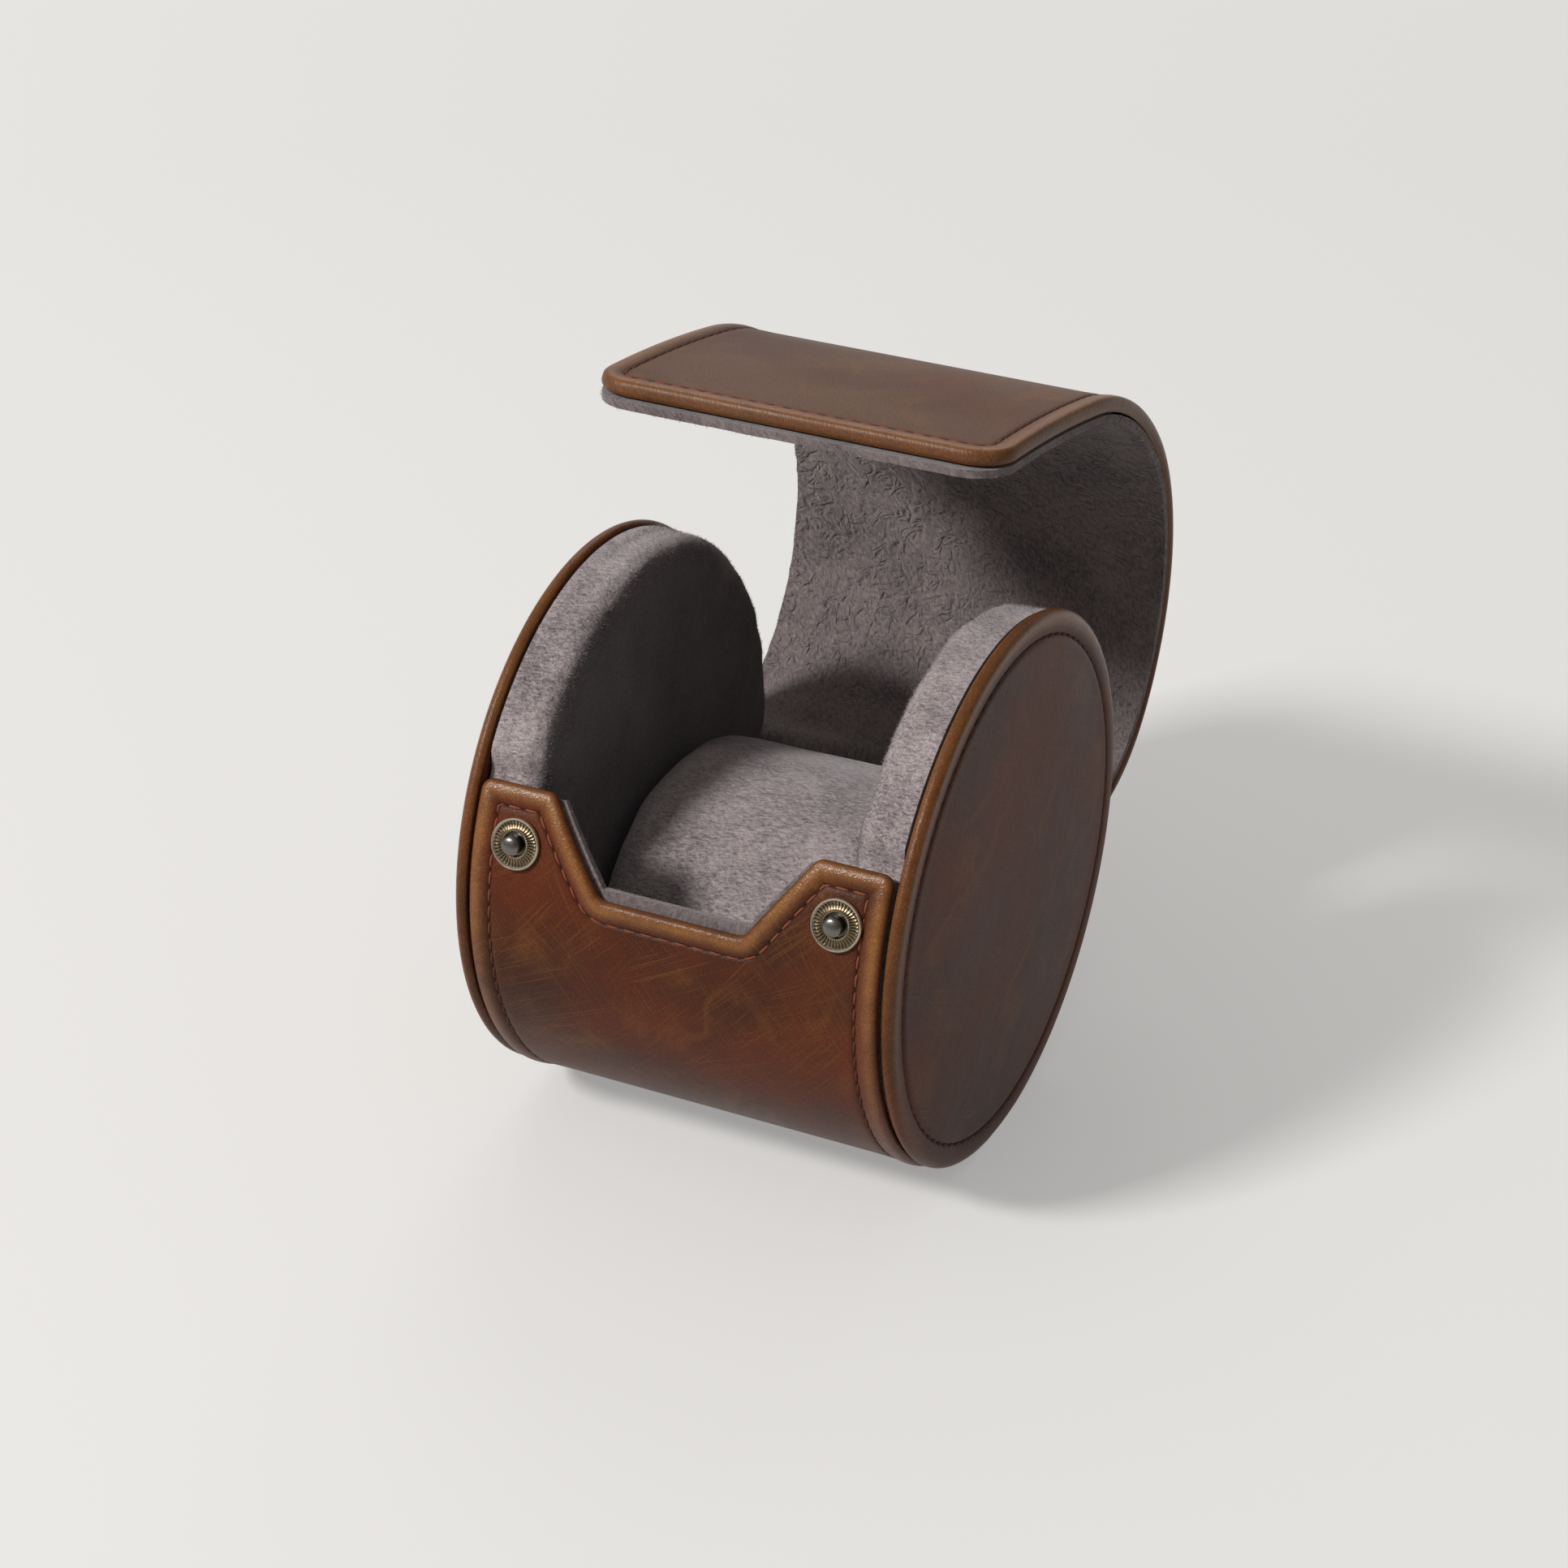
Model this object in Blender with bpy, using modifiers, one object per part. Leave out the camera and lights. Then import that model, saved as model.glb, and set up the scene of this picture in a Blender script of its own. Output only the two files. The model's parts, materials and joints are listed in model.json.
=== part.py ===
"""A leather watch roll: a drum with padded ends, a notched front wall and a flap lid, which stands open.

X runs along the drum, Y to the back and Z up. The origin is the middle of the flat that it rests on.
The walls are sheet goods, so each ply is drawn flat, as a cutter would draw it, and then formed:
a flat point is (across, along, depth), where depth is measured from the outer face towards the lining.
"""

import math

import bmesh
import bpy
from mathutils import Matrix, Vector

# Drum
DRUM_RADIUS = 0.050
BASE_SAG = 0.0015
BASE_EASE = math.radians(18)

# Plies of the wall and the lid
LEATHER = 0.0016
LINING = 0.0009
LID_BOARD = 0.0008
PLY_GAP = 0.0003
HEM_WIDTH = 0.0044
LINING_SETBACK = 0.0010

# Outline of the front wall
WALL_HALF_WIDTH = 0.0382
HORN_EDGE = math.radians(30.8)
NOTCH_FLOOR = math.radians(12.0)
NOTCH_TOP_HALF = 0.0244
NOTCH_FLOOR_HALF = 0.0133
HORN_CORNER = 0.0022
NOTCH_CORNER = 0.0026

# Lid, from the crease to the free edge: each arc has a length and a turn
CREASE_ANGLE = math.radians(13.3)
LID_HEADING = math.radians(-8)
LID_ARCS = (
    (0.0270, math.radians(54)),
    (0.0632, math.radians(83)),
    (0.0390, math.radians(37)),
    (0.0458, math.radians(7.5)),
)
LID_CORNER = 0.007
CREASE_GAP = 0.0006
BOARD_START = 0.010
BOARD_RAMP = 0.005

# Stitch channel
STITCH_INSET = 0.0040
CHANNEL_HALF = 0.0005
CHANNEL_DEPTH = 0.0004

# End covers and what they hold
COVER_GAP = 0.0004
COVER_THICKNESS = 0.0026
COVER_CROWN = 0.0005
COVER_ROLL = 0.0042
COVER_LIP = 0.0042
DISC_BOARD = 0.0012
PAD_DEPTH = 0.0092
PAD_SWELL = 0.0021
PAD_RAMP = math.radians(5)
PAD_CLEAR = 0.0010
PAD_SUEDE = 0.0009
PAD_ROUND = 0.0030
PAD_CROWN = 0.0004
FIT = 0.0003

# Cushion
CUSHION_HALF_DEPTH = 0.0350
CUSHION_HALF_HEIGHT = 0.0290
CUSHION_ROUND = 0.0070

# Press fasteners
SNAP_INSET = 0.0084
STUD_ANGLE = math.radians(19.3)
SOCKET_INSET = 0.0125
FLANGE_RADIUS = 0.0046
FLANGE_HEIGHT = 0.00095
FLUTES = 30
FLUTE_DEPTH = 0.00022
POST_RADIUS = 0.00172
POST_HEIGHT = 0.0031
BORE_RADIUS = 0.0013
SOCKET_RADIUS = 0.0050
SOCKET_HEIGHT = 0.0016
SPRING_WIRE = 0.00022
RIVET_RADIUS = 0.0010
RIVET_HEAD_RADIUS = 0.0029
RIVET_HEAD = 0.0003
SEAT_DEPTH = 0.0005
HEAD_SEAT_DEPTH = 0.0005

# Fineness
FORM_STEP = 0.0064
CORNER_POINTS = 3
DISC_STEPS = 38
RIVET_STEPS = 14
SOCKET_STEPS = 22
MERGE = 0.000001

# What follows from the sizes above
CENTRE = Vector((0.0, DRUM_RADIUS - BASE_SAG))
WALL = LEATHER + PLY_GAP + LINING
HEM = LEATHER + PLY_GAP + LID_BOARD
BOARD_LIFT = PLY_GAP + LID_BOARD
COVER_INNER = WALL_HALF_WIDTH + COVER_GAP
PAD_INNER = WALL_HALF_WIDTH - PAD_DEPTH
PAD_RADIUS = DRUM_RADIUS - WALL - FIT
PAD_FLOOR = WALL + 2 * FIT
HINGE_RADIUS = DRUM_RADIUS - LEATHER / 2
HINGE = CENTRE + HINGE_RADIUS * Vector((math.cos(CREASE_ANGLE), -math.sin(CREASE_ANGLE)))
LID_LENGTH = sum(length for length, _ in LID_ARCS)
NOTCH_DROP = DRUM_RADIUS * (HORN_EDGE - NOTCH_FLOOR)
STUD_DROP = DRUM_RADIUS * (HORN_EDGE - STUD_ANGLE)
SNAP_ACROSS = WALL_HALF_WIDTH - SNAP_INSET
SPARE = 0.012


def clear_scene():
    for leftover in list(bpy.data.objects):
        bpy.data.objects.remove(leftover, do_unlink=True)


def collection(name):
    found = bpy.data.collections.new(name)
    bpy.context.scene.collection.children.link(found)
    return found


def finish(name, colour, roughness, metallic=0.0):
    """A plain Principled material; the colour is given in linear values."""
    material = bpy.data.materials.new(name)
    material.use_nodes = True
    shader = material.node_tree.nodes["Principled BSDF"]
    shader.inputs["Base Color"].default_value = (*colour, 1.0)
    shader.inputs["Roughness"].default_value = roughness
    shader.inputs["Metallic"].default_value = metallic
    return material


def new_object(name, mesh, material, group):
    obj = bpy.data.objects.new(name, mesh)
    if material:
        mesh.materials.append(material)
    group.objects.link(obj)
    return obj


def mesh_from(bm, name, sharp=math.radians(35)):
    mesh = bpy.data.meshes.new(name)
    bm.to_mesh(mesh)
    bm.free()
    mesh.shade_smooth()
    mesh.set_sharp_from_angle(angle=sharp)
    return mesh


# Routes: the way that a sheet runs, seen from the side


def arc_end(start, heading, length, turn):
    """Where an arc ends that leaves start at this heading; a turn of zero is a straight line."""
    half = turn / 2
    chord = length if abs(half) < 1e-9 else length * math.sin(half) / half
    return start + chord * Vector((math.cos(heading + half), math.sin(heading + half)))


class Route:
    """A chain of arcs in the YZ plane that follows the outer face of a sheet, with the lining on its left."""

    def __init__(self, start, heading, arcs):
        self.pieces = []
        for length, turn in arcs:
            self.pieces.append((start, heading, length, turn))
            start = arc_end(start, heading, length, turn)
            heading += turn

    def frame(self, along):
        """The point and the heading at this distance; past either end the route runs on straight."""
        for start, heading, length, turn in self.pieces[:-1]:
            if along <= length:
                break
            along -= length
        else:
            start, heading, length, turn = self.pieces[-1]
        inside = min(max(along, 0.0), length)
        share = inside / length
        point = arc_end(start, heading, inside, turn * share)
        heading += turn * share
        rest = along - inside
        return point + rest * Vector((math.cos(heading), math.sin(heading))), heading

    def place(self, across, along, depth):
        point, heading = self.frame(along)
        left = Vector((-math.sin(heading), math.cos(heading)))
        point = point + depth * left
        return Vector((across, point.x, point.y))

    def seat(self, across, along, depth, outward):
        """A matrix whose Z axis leaves the sheet, outwards or towards the lining, from this depth."""
        _, heading = self.frame(along)
        normal = Vector((0.0, -math.sin(heading), math.cos(heading)))
        if outward:
            normal.negate()
        side = Vector((1.0, 0.0, 0.0))
        turned_side = normal.cross(side)
        axes = Matrix((side, turned_side, normal)).transposed().to_4x4()
        return Matrix.Translation(self.place(across, along, depth)) @ axes


def wall_route():
    """From the tops of the horns, down the front, under the base and up the back to the crease."""
    ease_radius = DRUM_RADIUS - BASE_SAG / (1 - math.cos(BASE_EASE))
    flat = 2 * (DRUM_RADIUS - ease_radius) * math.sin(BASE_EASE)
    front = HORN_EDGE + math.pi / 2 - BASE_EASE
    back = math.pi / 2 - CREASE_ANGLE - BASE_EASE
    polar = math.pi - HORN_EDGE
    start = CENTRE + DRUM_RADIUS * Vector((math.cos(polar), math.sin(polar)))
    arcs = (
        (DRUM_RADIUS * front, front),
        (ease_radius * BASE_EASE, BASE_EASE),
        (flat, 0.0),
        (ease_radius * BASE_EASE, BASE_EASE),
        (DRUM_RADIUS * back, back),
    )
    return Route(start, polar + math.pi / 2, arcs), sum(length for length, _ in arcs)


def lid_route():
    left = Vector((-math.sin(LID_HEADING), math.cos(LID_HEADING)))
    return Route(HINGE - LEATHER / 2 * left, LID_HEADING, LID_ARCS)


# Sheet goods: outlines, edge sections and forming


def rounded_outline(corners, inset):
    """The outline, counter-clockwise, drawn this far inside its line, with each corner as an arc."""
    points = []
    for i, (x, y, radius) in enumerate(corners):
        here = Vector((x, y))
        before = Vector(corners[i - 1][:2])
        after = Vector(corners[(i + 1) % len(corners)][:2])
        come = (here - before).normalized()
        leave = (after - here).normalized()
        come_in = Vector((-come.y, come.x))
        leave_in = Vector((-leave.y, leave.x))
        corner = here + inset * (come_in + leave_in) / (1 + come_in.dot(leave_in))
        turn = math.atan2(come.x * leave.y - come.y * leave.x, come.dot(leave))
        side = 1 if turn > 0 else -1
        bend = max(radius - side * inset, 0.0004)
        start = corner - come * bend * math.tan(abs(turn) / 2)
        middle = start + side * bend * come_in
        spoke = start - middle
        for k in range(CORNER_POINTS + 1):
            spin = Matrix.Rotation(turn * k / CORNER_POINTS, 2)
            points.append(middle + spin @ spoke)
    return points


def round_edge(shallow, deep, setback):
    """A half-round edge section between two depths, from the lining side to the outer side."""
    radius = (deep - shallow) / 2
    angles = [math.pi / 4 * k for k in range(5)]
    return [
        (setback + radius * (1 - math.sin(a)), shallow + radius * (1 + math.cos(a)))
        for a in angles
    ]


def square_edge(shallow, deep, setback):
    return [(setback, deep), (setback, shallow)]


def stitch_channel():
    return [
        (STITCH_INSET - CHANNEL_HALF, 0.0),
        (STITCH_INSET, CHANNEL_DEPTH),
        (STITCH_INSET + CHANNEL_HALF, 0.0),
    ]


def flat_panel(corners, section):
    """A flat sheet with this edge section, which runs from its lining side to its outer side."""
    bm = bmesh.new()
    rings = []
    for inset, depth in section:
        ring = [bm.verts.new((p.x, p.y, depth)) for p in rounded_outline(corners, inset)]
        rings.append(ring)
    for lower, upper in zip(rings, rings[1:]):
        for i, vert in enumerate(lower):
            bm.faces.new((lower[i - 1], vert, upper[i], upper[i - 1]))
    bm.faces.new(reversed(rings[0]))
    bm.faces.new(rings[-1])
    bmesh.ops.recalc_face_normals(bm, faces=bm.faces[:])
    return bm


def trim(bm, along, keep_after):
    """Cuts the flat sheet off square at this distance and closes the cut."""
    cut = bmesh.ops.bisect_plane(
        bm,
        geom=bm.verts[:] + bm.edges[:] + bm.faces[:],
        plane_co=(0.0, along, 0.0),
        plane_no=(0.0, 1.0, 0.0),
        clear_inner=keep_after,
        clear_outer=not keep_after,
        dist=MERGE,
    )
    edges = [item for item in cut["geom_cut"] if isinstance(item, bmesh.types.BMEdge)]
    bmesh.ops.contextual_create(bm, geom=edges)


def crosscut(bm, places):
    """Lines across the sheet, so that it can bend there."""
    for along in places:
        bmesh.ops.bisect_plane(
            bm,
            geom=bm.verts[:] + bm.edges[:] + bm.faces[:],
            plane_co=(0.0, along, 0.0),
            plane_no=(0.0, 1.0, 0.0),
            dist=MERGE,
        )


def bend_places(start, end):
    count = max(2, round((end - start) / FORM_STEP))
    return [start + (end - start) * k / count for k in range(1, count)]


def round_places(edge, into):
    """Close lines beside a cut end, where it is rounded."""
    return [edge + into * LEATHER / 2 * share for share in (0.2, 0.55, 1.0)]


def rounding(along, edge, radius):
    """How much of its thickness a rounded end has left at this distance."""
    inside = min(abs(along - edge), radius)
    lean = 1 - inside / radius
    return max(math.sqrt(1 - lean * lean), 0.35)


def smooth(share):
    share = min(max(share, 0.0), 1.0)
    return share * share * (3 - 2 * share)


def form(bm, route, depth_at):
    for vert in bm.verts:
        across, along, depth = vert.co
        vert.co = route.place(across, along, depth_at(along, depth))
    bmesh.ops.remove_doubles(bm, verts=bm.verts[:], dist=MERGE)
    bmesh.ops.recalc_face_normals(bm, faces=bm.faces[:])


def wall_corners(length):
    """The wall laid flat: along is zero at the tops of the horns, and it runs past the crease."""
    half = WALL_HALF_WIDTH
    return (
        (half, 0.0, HORN_CORNER),
        (half, length + SPARE, HORN_CORNER),
        (-half, length + SPARE, HORN_CORNER),
        (-half, 0.0, HORN_CORNER),
        (-NOTCH_TOP_HALF, 0.0, HORN_CORNER),
        (-NOTCH_FLOOR_HALF, NOTCH_DROP, NOTCH_CORNER),
        (NOTCH_FLOOR_HALF, NOTCH_DROP, NOTCH_CORNER),
        (NOTCH_TOP_HALF, 0.0, HORN_CORNER),
    )


def lid_corners(start):
    """The lid laid flat: along is zero at the crease."""
    half = WALL_HALF_WIDTH
    return (
        (half, start - SPARE, LID_CORNER),
        (half, LID_LENGTH, LID_CORNER),
        (-half, LID_LENGTH, LID_CORNER),
        (-half, start - SPARE, LID_CORNER),
    )


def wall_ply(name, section, route, length, material, group):
    end = length - LEATHER - CREASE_GAP
    bm = flat_panel(wall_corners(length), section)
    trim(bm, end, keep_after=False)
    crosscut(bm, bend_places(0.0, end) + round_places(end, -1))
    shallow = section[-1][1]
    middle = (shallow + section[0][1]) / 2
    half = abs(section[0][1] - shallow) / 2

    def depth_at(along, depth):
        return middle + (depth - middle) * rounding(along, end, half)

    form(bm, route, depth_at)
    return new_object(name, mesh_from(bm, name), material, group)


def lid_ply(name, section, start, route, material, group):
    bm = flat_panel(lid_corners(start), section)
    trim(bm, start, keep_after=True)
    crosscut(bm, round_places(start, 1) + bend_places(start + LEATHER, LID_LENGTH))
    end_plies = [depth for _, depth in section]
    shallow = min(end_plies)
    deep = max(end_plies) - (BOARD_LIFT if max(end_plies) > LEATHER else 0.0)
    middle = (shallow + deep) / 2
    if shallow > LEATHER:
        middle -= BOARD_LIFT / 2

    def depth_at(along, depth):
        if depth > LEATHER + MERGE:
            depth -= BOARD_LIFT * (1 - smooth((along - BOARD_START + BOARD_RAMP) / BOARD_RAMP))
        return middle + (depth - middle) * rounding(along, start, LEATHER / 2)

    form(bm, route, depth_at)
    return new_object(name, mesh_from(bm, name), material, group)


def lid_board(route, material, group):
    bm = flat_panel(
        (
            (WALL_HALF_WIDTH, BOARD_START - HEM_WIDTH - PLY_GAP, LID_CORNER),
            (WALL_HALF_WIDTH, LID_LENGTH, LID_CORNER),
            (-WALL_HALF_WIDTH, LID_LENGTH, LID_CORNER),
            (-WALL_HALF_WIDTH, BOARD_START - HEM_WIDTH - PLY_GAP, LID_CORNER),
        ),
        square_edge(LEATHER + PLY_GAP, HEM, HEM_WIDTH + PLY_GAP),
    )
    crosscut(bm, bend_places(BOARD_START, LID_LENGTH))
    form(bm, route, lambda _, depth: depth)
    return new_object("lid_board", mesh_from(bm, "lid_board"), material, group)


# Turned pieces


def turned(name, profile, steps, matrix, material, group, closed=False):
    """A profile of (radius, height) points turned about its Z axis; it runs down the outer side."""
    bm = bmesh.new()
    verts = [bm.verts.new((radius, 0.0, height)) for radius, height in profile]
    pairs = list(zip(verts, verts[1:]))
    if closed:
        pairs.append((verts[-1], verts[0]))
    for a, b in pairs:
        bm.edges.new((a, b))
    mesh = bpy.data.meshes.new(name)
    bm.to_mesh(mesh)
    bm.free()
    obj = new_object(name, mesh, material, group)
    obj.matrix_world = matrix
    screw = obj.modifiers.new("Turn", "SCREW")
    screw.axis = "Z"
    screw.steps = steps
    screw.render_steps = steps
    screw.use_merge_vertices = True
    screw.merge_threshold = MERGE
    screw.use_smooth_shade = True
    return obj


def as_cutter(obj):
    obj.hide_render = True
    obj.display_type = "WIRE"
    return obj


def subtract(obj, cutter):
    cut = obj.modifiers.new("Cut " + cutter.name, "BOOLEAN")
    cut.operation = "DIFFERENCE"
    cut.object = cutter


def block_below(name, top, group):
    """A cutter that takes away all that is lower than this height."""
    side = 4 * DRUM_RADIUS
    bpy.ops.mesh.primitive_cube_add(size=side, location=(0.0, 0.0, top - side / 2))
    block = bpy.context.object
    block.name = name
    for owner in list(block.users_collection):
        owner.objects.unlink(block)
    group.objects.link(block)
    return as_cutter(block)


def end_matrix(side):
    """Z runs outwards along the drum from its middle, on the right (1) or the left (-1)."""
    return Matrix.Translation((0.0, CENTRE.x, CENTRE.y)) @ Matrix.Rotation(side * math.pi / 2, 4, "Y")


def arc_points(middle, radius, start, end, count):
    """Points on an arc of a turned profile, from one angle to the other."""
    return [
        (
            middle[0] + radius * math.cos(start + (end - start) * k / count),
            middle[1] + radius * math.sin(start + (end - start) * k / count),
        )
        for k in range(count + 1)
    ]


def cover_profile():
    """A leather disc turned in over its edge: a crowned face, a stitched channel and a fat rolled rim."""
    face = COVER_INNER + COVER_THICKNESS
    roll = COVER_THICKNESS / 2
    channel = DRUM_RADIUS - COVER_ROLL
    recess = DRUM_RADIUS - COVER_LIP
    crown = [
        (channel * share, face + COVER_CROWN * (1 - share * share))
        for share in (0.0, 0.5, 0.8)
    ]
    rim = arc_points(
        (DRUM_RADIUS - roll, COVER_INNER + roll), roll, math.pi / 2, -math.pi / 2, 5
    )
    return (
        crown
        + [
            (channel - CHANNEL_HALF, face),
            (channel, face - CHANNEL_DEPTH),
            (channel + CHANNEL_HALF, face),
        ]
        + rim
        + [
            (recess, COVER_INNER),
            (recess, COVER_INNER + DISC_BOARD + PLY_GAP),
            (0.0, COVER_INNER + DISC_BOARD + PLY_GAP),
        ]
    )


def pad_open_sector():
    """The angles, from the back over the top, between which no wall covers the pad."""
    clear = PAD_CLEAR / DRUM_RADIUS
    return clear - CREASE_ANGLE, math.pi - HORN_EDGE - clear


def pad_angles():
    start, end = pad_open_sector()
    floor = 1.5 * math.pi
    corner = math.acos((CENTRE.y - PAD_FLOOR) / PAD_RADIUS)
    stops = (
        start,
        start + PAD_RAMP,
        end - PAD_RAMP,
        end,
        floor - corner,
        floor + corner,
        start + 2 * math.pi,
    )
    angles = []
    for a, b in zip(stops, stops[1:]):
        count = max(2, round((b - a) / (2 * math.pi) * DISC_STEPS))
        angles += [a + (b - a) * k / count for k in range(count)]
    return angles


def pad_reach(angle):
    """The pad fits inside the wall, and swells to the rim of its cover where no wall holds it."""
    start, end = pad_open_sector()
    swell = smooth((angle - start) / PAD_RAMP) * smooth((end - angle) / PAD_RAMP)
    return PAD_RADIUS + PAD_SWELL * swell


def pad_rings(inset):
    """Rings of the pad's skin at this inset, from the crown of its face to its back edge."""
    bend = PAD_ROUND - inset
    face = PAD_INNER + inset
    rings = [(PAD_ROUND, 0.6, face - PAD_CROWN * 0.64)]
    for k in (3, 2, 1, 0):
        turn = math.pi / 6 * k
        rings.append((PAD_ROUND - bend * math.cos(turn), 1.0, face + bend * (1 - math.sin(turn))))
    rings.append((inset, 1.0, COVER_INNER - FIT))
    return rings


def pad_solid(name, side, rings, tips, material, group):
    """A solid through these rings, drawn together on the drum's axis at both ends."""
    bm = bmesh.new()
    loops = []
    for inset, share, reach_out in rings:
        loop = []
        for angle in pad_angles():
            radius = (pad_reach(angle) - inset) * share
            y = CENTRE.x + radius * math.cos(angle)
            z = max(CENTRE.y + radius * math.sin(angle), PAD_FLOOR + inset)
            loop.append(bm.verts.new((side * reach_out, y, z)))
        loops.append(loop)
    for lower, upper in zip(loops, loops[1:]):
        for i, vert in enumerate(lower):
            bm.faces.new((lower[i - 1], vert, upper[i], upper[i - 1]))
    for loop, reach_out in ((loops[0], tips[0]), (loops[-1], tips[1])):
        tip = bm.verts.new((side * reach_out, CENTRE.x, CENTRE.y))
        for i, vert in enumerate(loop):
            bm.faces.new((tip, loop[i - 1], vert))
    bmesh.ops.recalc_face_normals(bm, faces=bm.faces[:])
    return new_object(name, mesh_from(bm, name), material, group)


def build_end(side, label, finishes, shell, cutters):
    matrix = end_matrix(side)
    ground = block_below(label + "_ground", 0.0, cutters)
    cover = turned(
        label + "_disc_cover", cover_profile(), DISC_STEPS, matrix, finishes["leather"], shell
    )
    subtract(cover, ground)

    board_radius = DRUM_RADIUS - COVER_LIP - FIT
    board = [
        (0.0, COVER_INNER + DISC_BOARD),
        (board_radius, COVER_INNER + DISC_BOARD),
        (board_radius, COVER_INNER),
        (0.0, COVER_INNER),
    ]
    turned(label + "_disc_board", board, DISC_STEPS, matrix, finishes["board"], shell)

    outside = pad_rings(0.0)
    inside = pad_rings(PAD_SUEDE)
    crown = PAD_INNER - PAD_CROWN
    pad_solid(
        label + "_pad_suede",
        side,
        outside + inside[::-1],
        (crown, crown + PAD_SUEDE),
        finishes["suede"],
        shell,
    )
    core_inset = PAD_SUEDE + FIT
    pad_solid(
        label + "_pad_core",
        side,
        pad_rings(core_inset),
        (crown + core_inset, COVER_INNER - FIT),
        finishes["board"],
        shell,
    )


def build_cushion(finishes, shell):
    """An oval pillow on the wall's lining, held end to end between the pads."""
    half_length = PAD_INNER - PAD_CROWN - FIT
    bpy.ops.mesh.primitive_cylinder_add(
        vertices=32,
        radius=CUSHION_HALF_HEIGHT,
        depth=2 * half_length,
        location=(0.0, 0.0, PAD_FLOOR + CUSHION_HALF_HEIGHT),
        rotation=(0.0, math.pi / 2, 0.0),
    )
    cushion = bpy.context.object
    cushion.name = "cushion"
    cushion.scale = (1.0, CUSHION_HALF_DEPTH / CUSHION_HALF_HEIGHT, 1.0)
    bpy.ops.object.transform_apply(location=False, rotation=True, scale=True)
    soft = cushion.modifiers.new("Rounded ends", "BEVEL")
    soft.width = CUSHION_ROUND
    soft.segments = 4
    soft.limit_method = "ANGLE"
    soft.angle_limit = math.radians(60)
    cushion.data.materials.append(finishes["suede"])
    cushion.data.shade_smooth()
    for owner in list(cushion.users_collection):
        owner.objects.unlink(cushion)
    shell.objects.link(cushion)


# Press fasteners


def stud_profile():
    """The outer half of a stud: a dished flange with a rolled rim, an inner ring and a waisted post."""
    dish = FLANGE_HEIGHT * 0.68
    ring = FLANGE_RADIUS * 0.50
    return [
        (0.0, POST_HEIGHT),
        (POST_RADIUS * 0.80, POST_HEIGHT * 0.97),
        (POST_RADIUS, POST_HEIGHT * 0.82),
        (POST_RADIUS * 0.86, POST_HEIGHT * 0.50),
        (POST_RADIUS * 1.10, dish),
        (ring, FLANGE_HEIGHT * 1.05),
        (ring + 0.00035, dish),
        (FLANGE_RADIUS * 0.87, dish * 1.1),
        (FLANGE_RADIUS * 0.94, FLANGE_HEIGHT),
        (FLANGE_RADIUS, FLANGE_HEIGHT * 0.6),
        (FLANGE_RADIUS * 0.95, 0.0),
        (BORE_RADIUS, 0.0),
        (BORE_RADIUS, POST_HEIGHT * 0.45),
        (0.0, POST_HEIGHT * 0.45),
    ]


def fluted_stud(name, matrix, material, group):
    """The profile is spun, and between the ring and the rim every other spoke is pressed in."""
    bm = bmesh.new()
    verts = [bm.verts.new((radius, 0.0, height)) for radius, height in stud_profile()]
    edges = [bm.edges.new(pair) for pair in zip(verts, verts[1:])]
    steps = 2 * FLUTES
    bmesh.ops.spin(
        bm,
        geom=verts + edges,
        cent=(0.0, 0.0, 0.0),
        axis=(0.0, 0.0, 1.0),
        angle=2 * math.pi,
        steps=steps,
        use_merge=True,
    )
    bmesh.ops.remove_doubles(bm, verts=bm.verts[:], dist=MERGE)
    inner = FLANGE_RADIUS * 0.50 + 0.0002
    outer = FLANGE_RADIUS * 0.90
    for vert in bm.verts:
        radius = math.hypot(vert.co.x, vert.co.y)
        spoke = round(math.atan2(vert.co.y, vert.co.x) / (2 * math.pi) * steps)
        if inner < radius < outer and vert.co.z > FLUTE_DEPTH * 2 and spoke % 2:
            vert.co.z -= FLUTE_DEPTH
    bmesh.ops.recalc_face_normals(bm, faces=bm.faces[:])
    stud = new_object(name, mesh_from(bm, name), material, group)
    stud.matrix_world = matrix


def rivet_profile(length):
    """A pin on a flat head; the head's top is at zero, and the pin rises from it."""
    return [
        (0.0, length),
        (RIVET_RADIUS * 0.8, length),
        (RIVET_RADIUS, length - RIVET_RADIUS * 0.2),
        (RIVET_RADIUS, 0.0),
        (RIVET_HEAD_RADIUS, 0.0),
        (RIVET_HEAD_RADIUS, -RIVET_HEAD),
        (0.0, -RIVET_HEAD),
    ]


def socket_profile():
    """A closed section: a domed ring with a groove inside its mouth for the spring."""
    mouth = POST_RADIUS + 0.0002
    groove = mouth + 3 * SPRING_WIRE
    low = SOCKET_HEIGHT * 0.34
    high = SOCKET_HEIGHT * 0.72
    return [
        (mouth, SOCKET_HEIGHT),
        (SOCKET_RADIUS * 0.62, SOCKET_HEIGHT),
        (SOCKET_RADIUS * 0.90, SOCKET_HEIGHT * 0.62),
        (SOCKET_RADIUS, SOCKET_HEIGHT * 0.30),
        (SOCKET_RADIUS * 0.96, 0.0),
        (BORE_RADIUS, 0.0),
        (BORE_RADIUS, low),
        (groove, low),
        (groove, high),
        (mouth, high),
    ]


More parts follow.
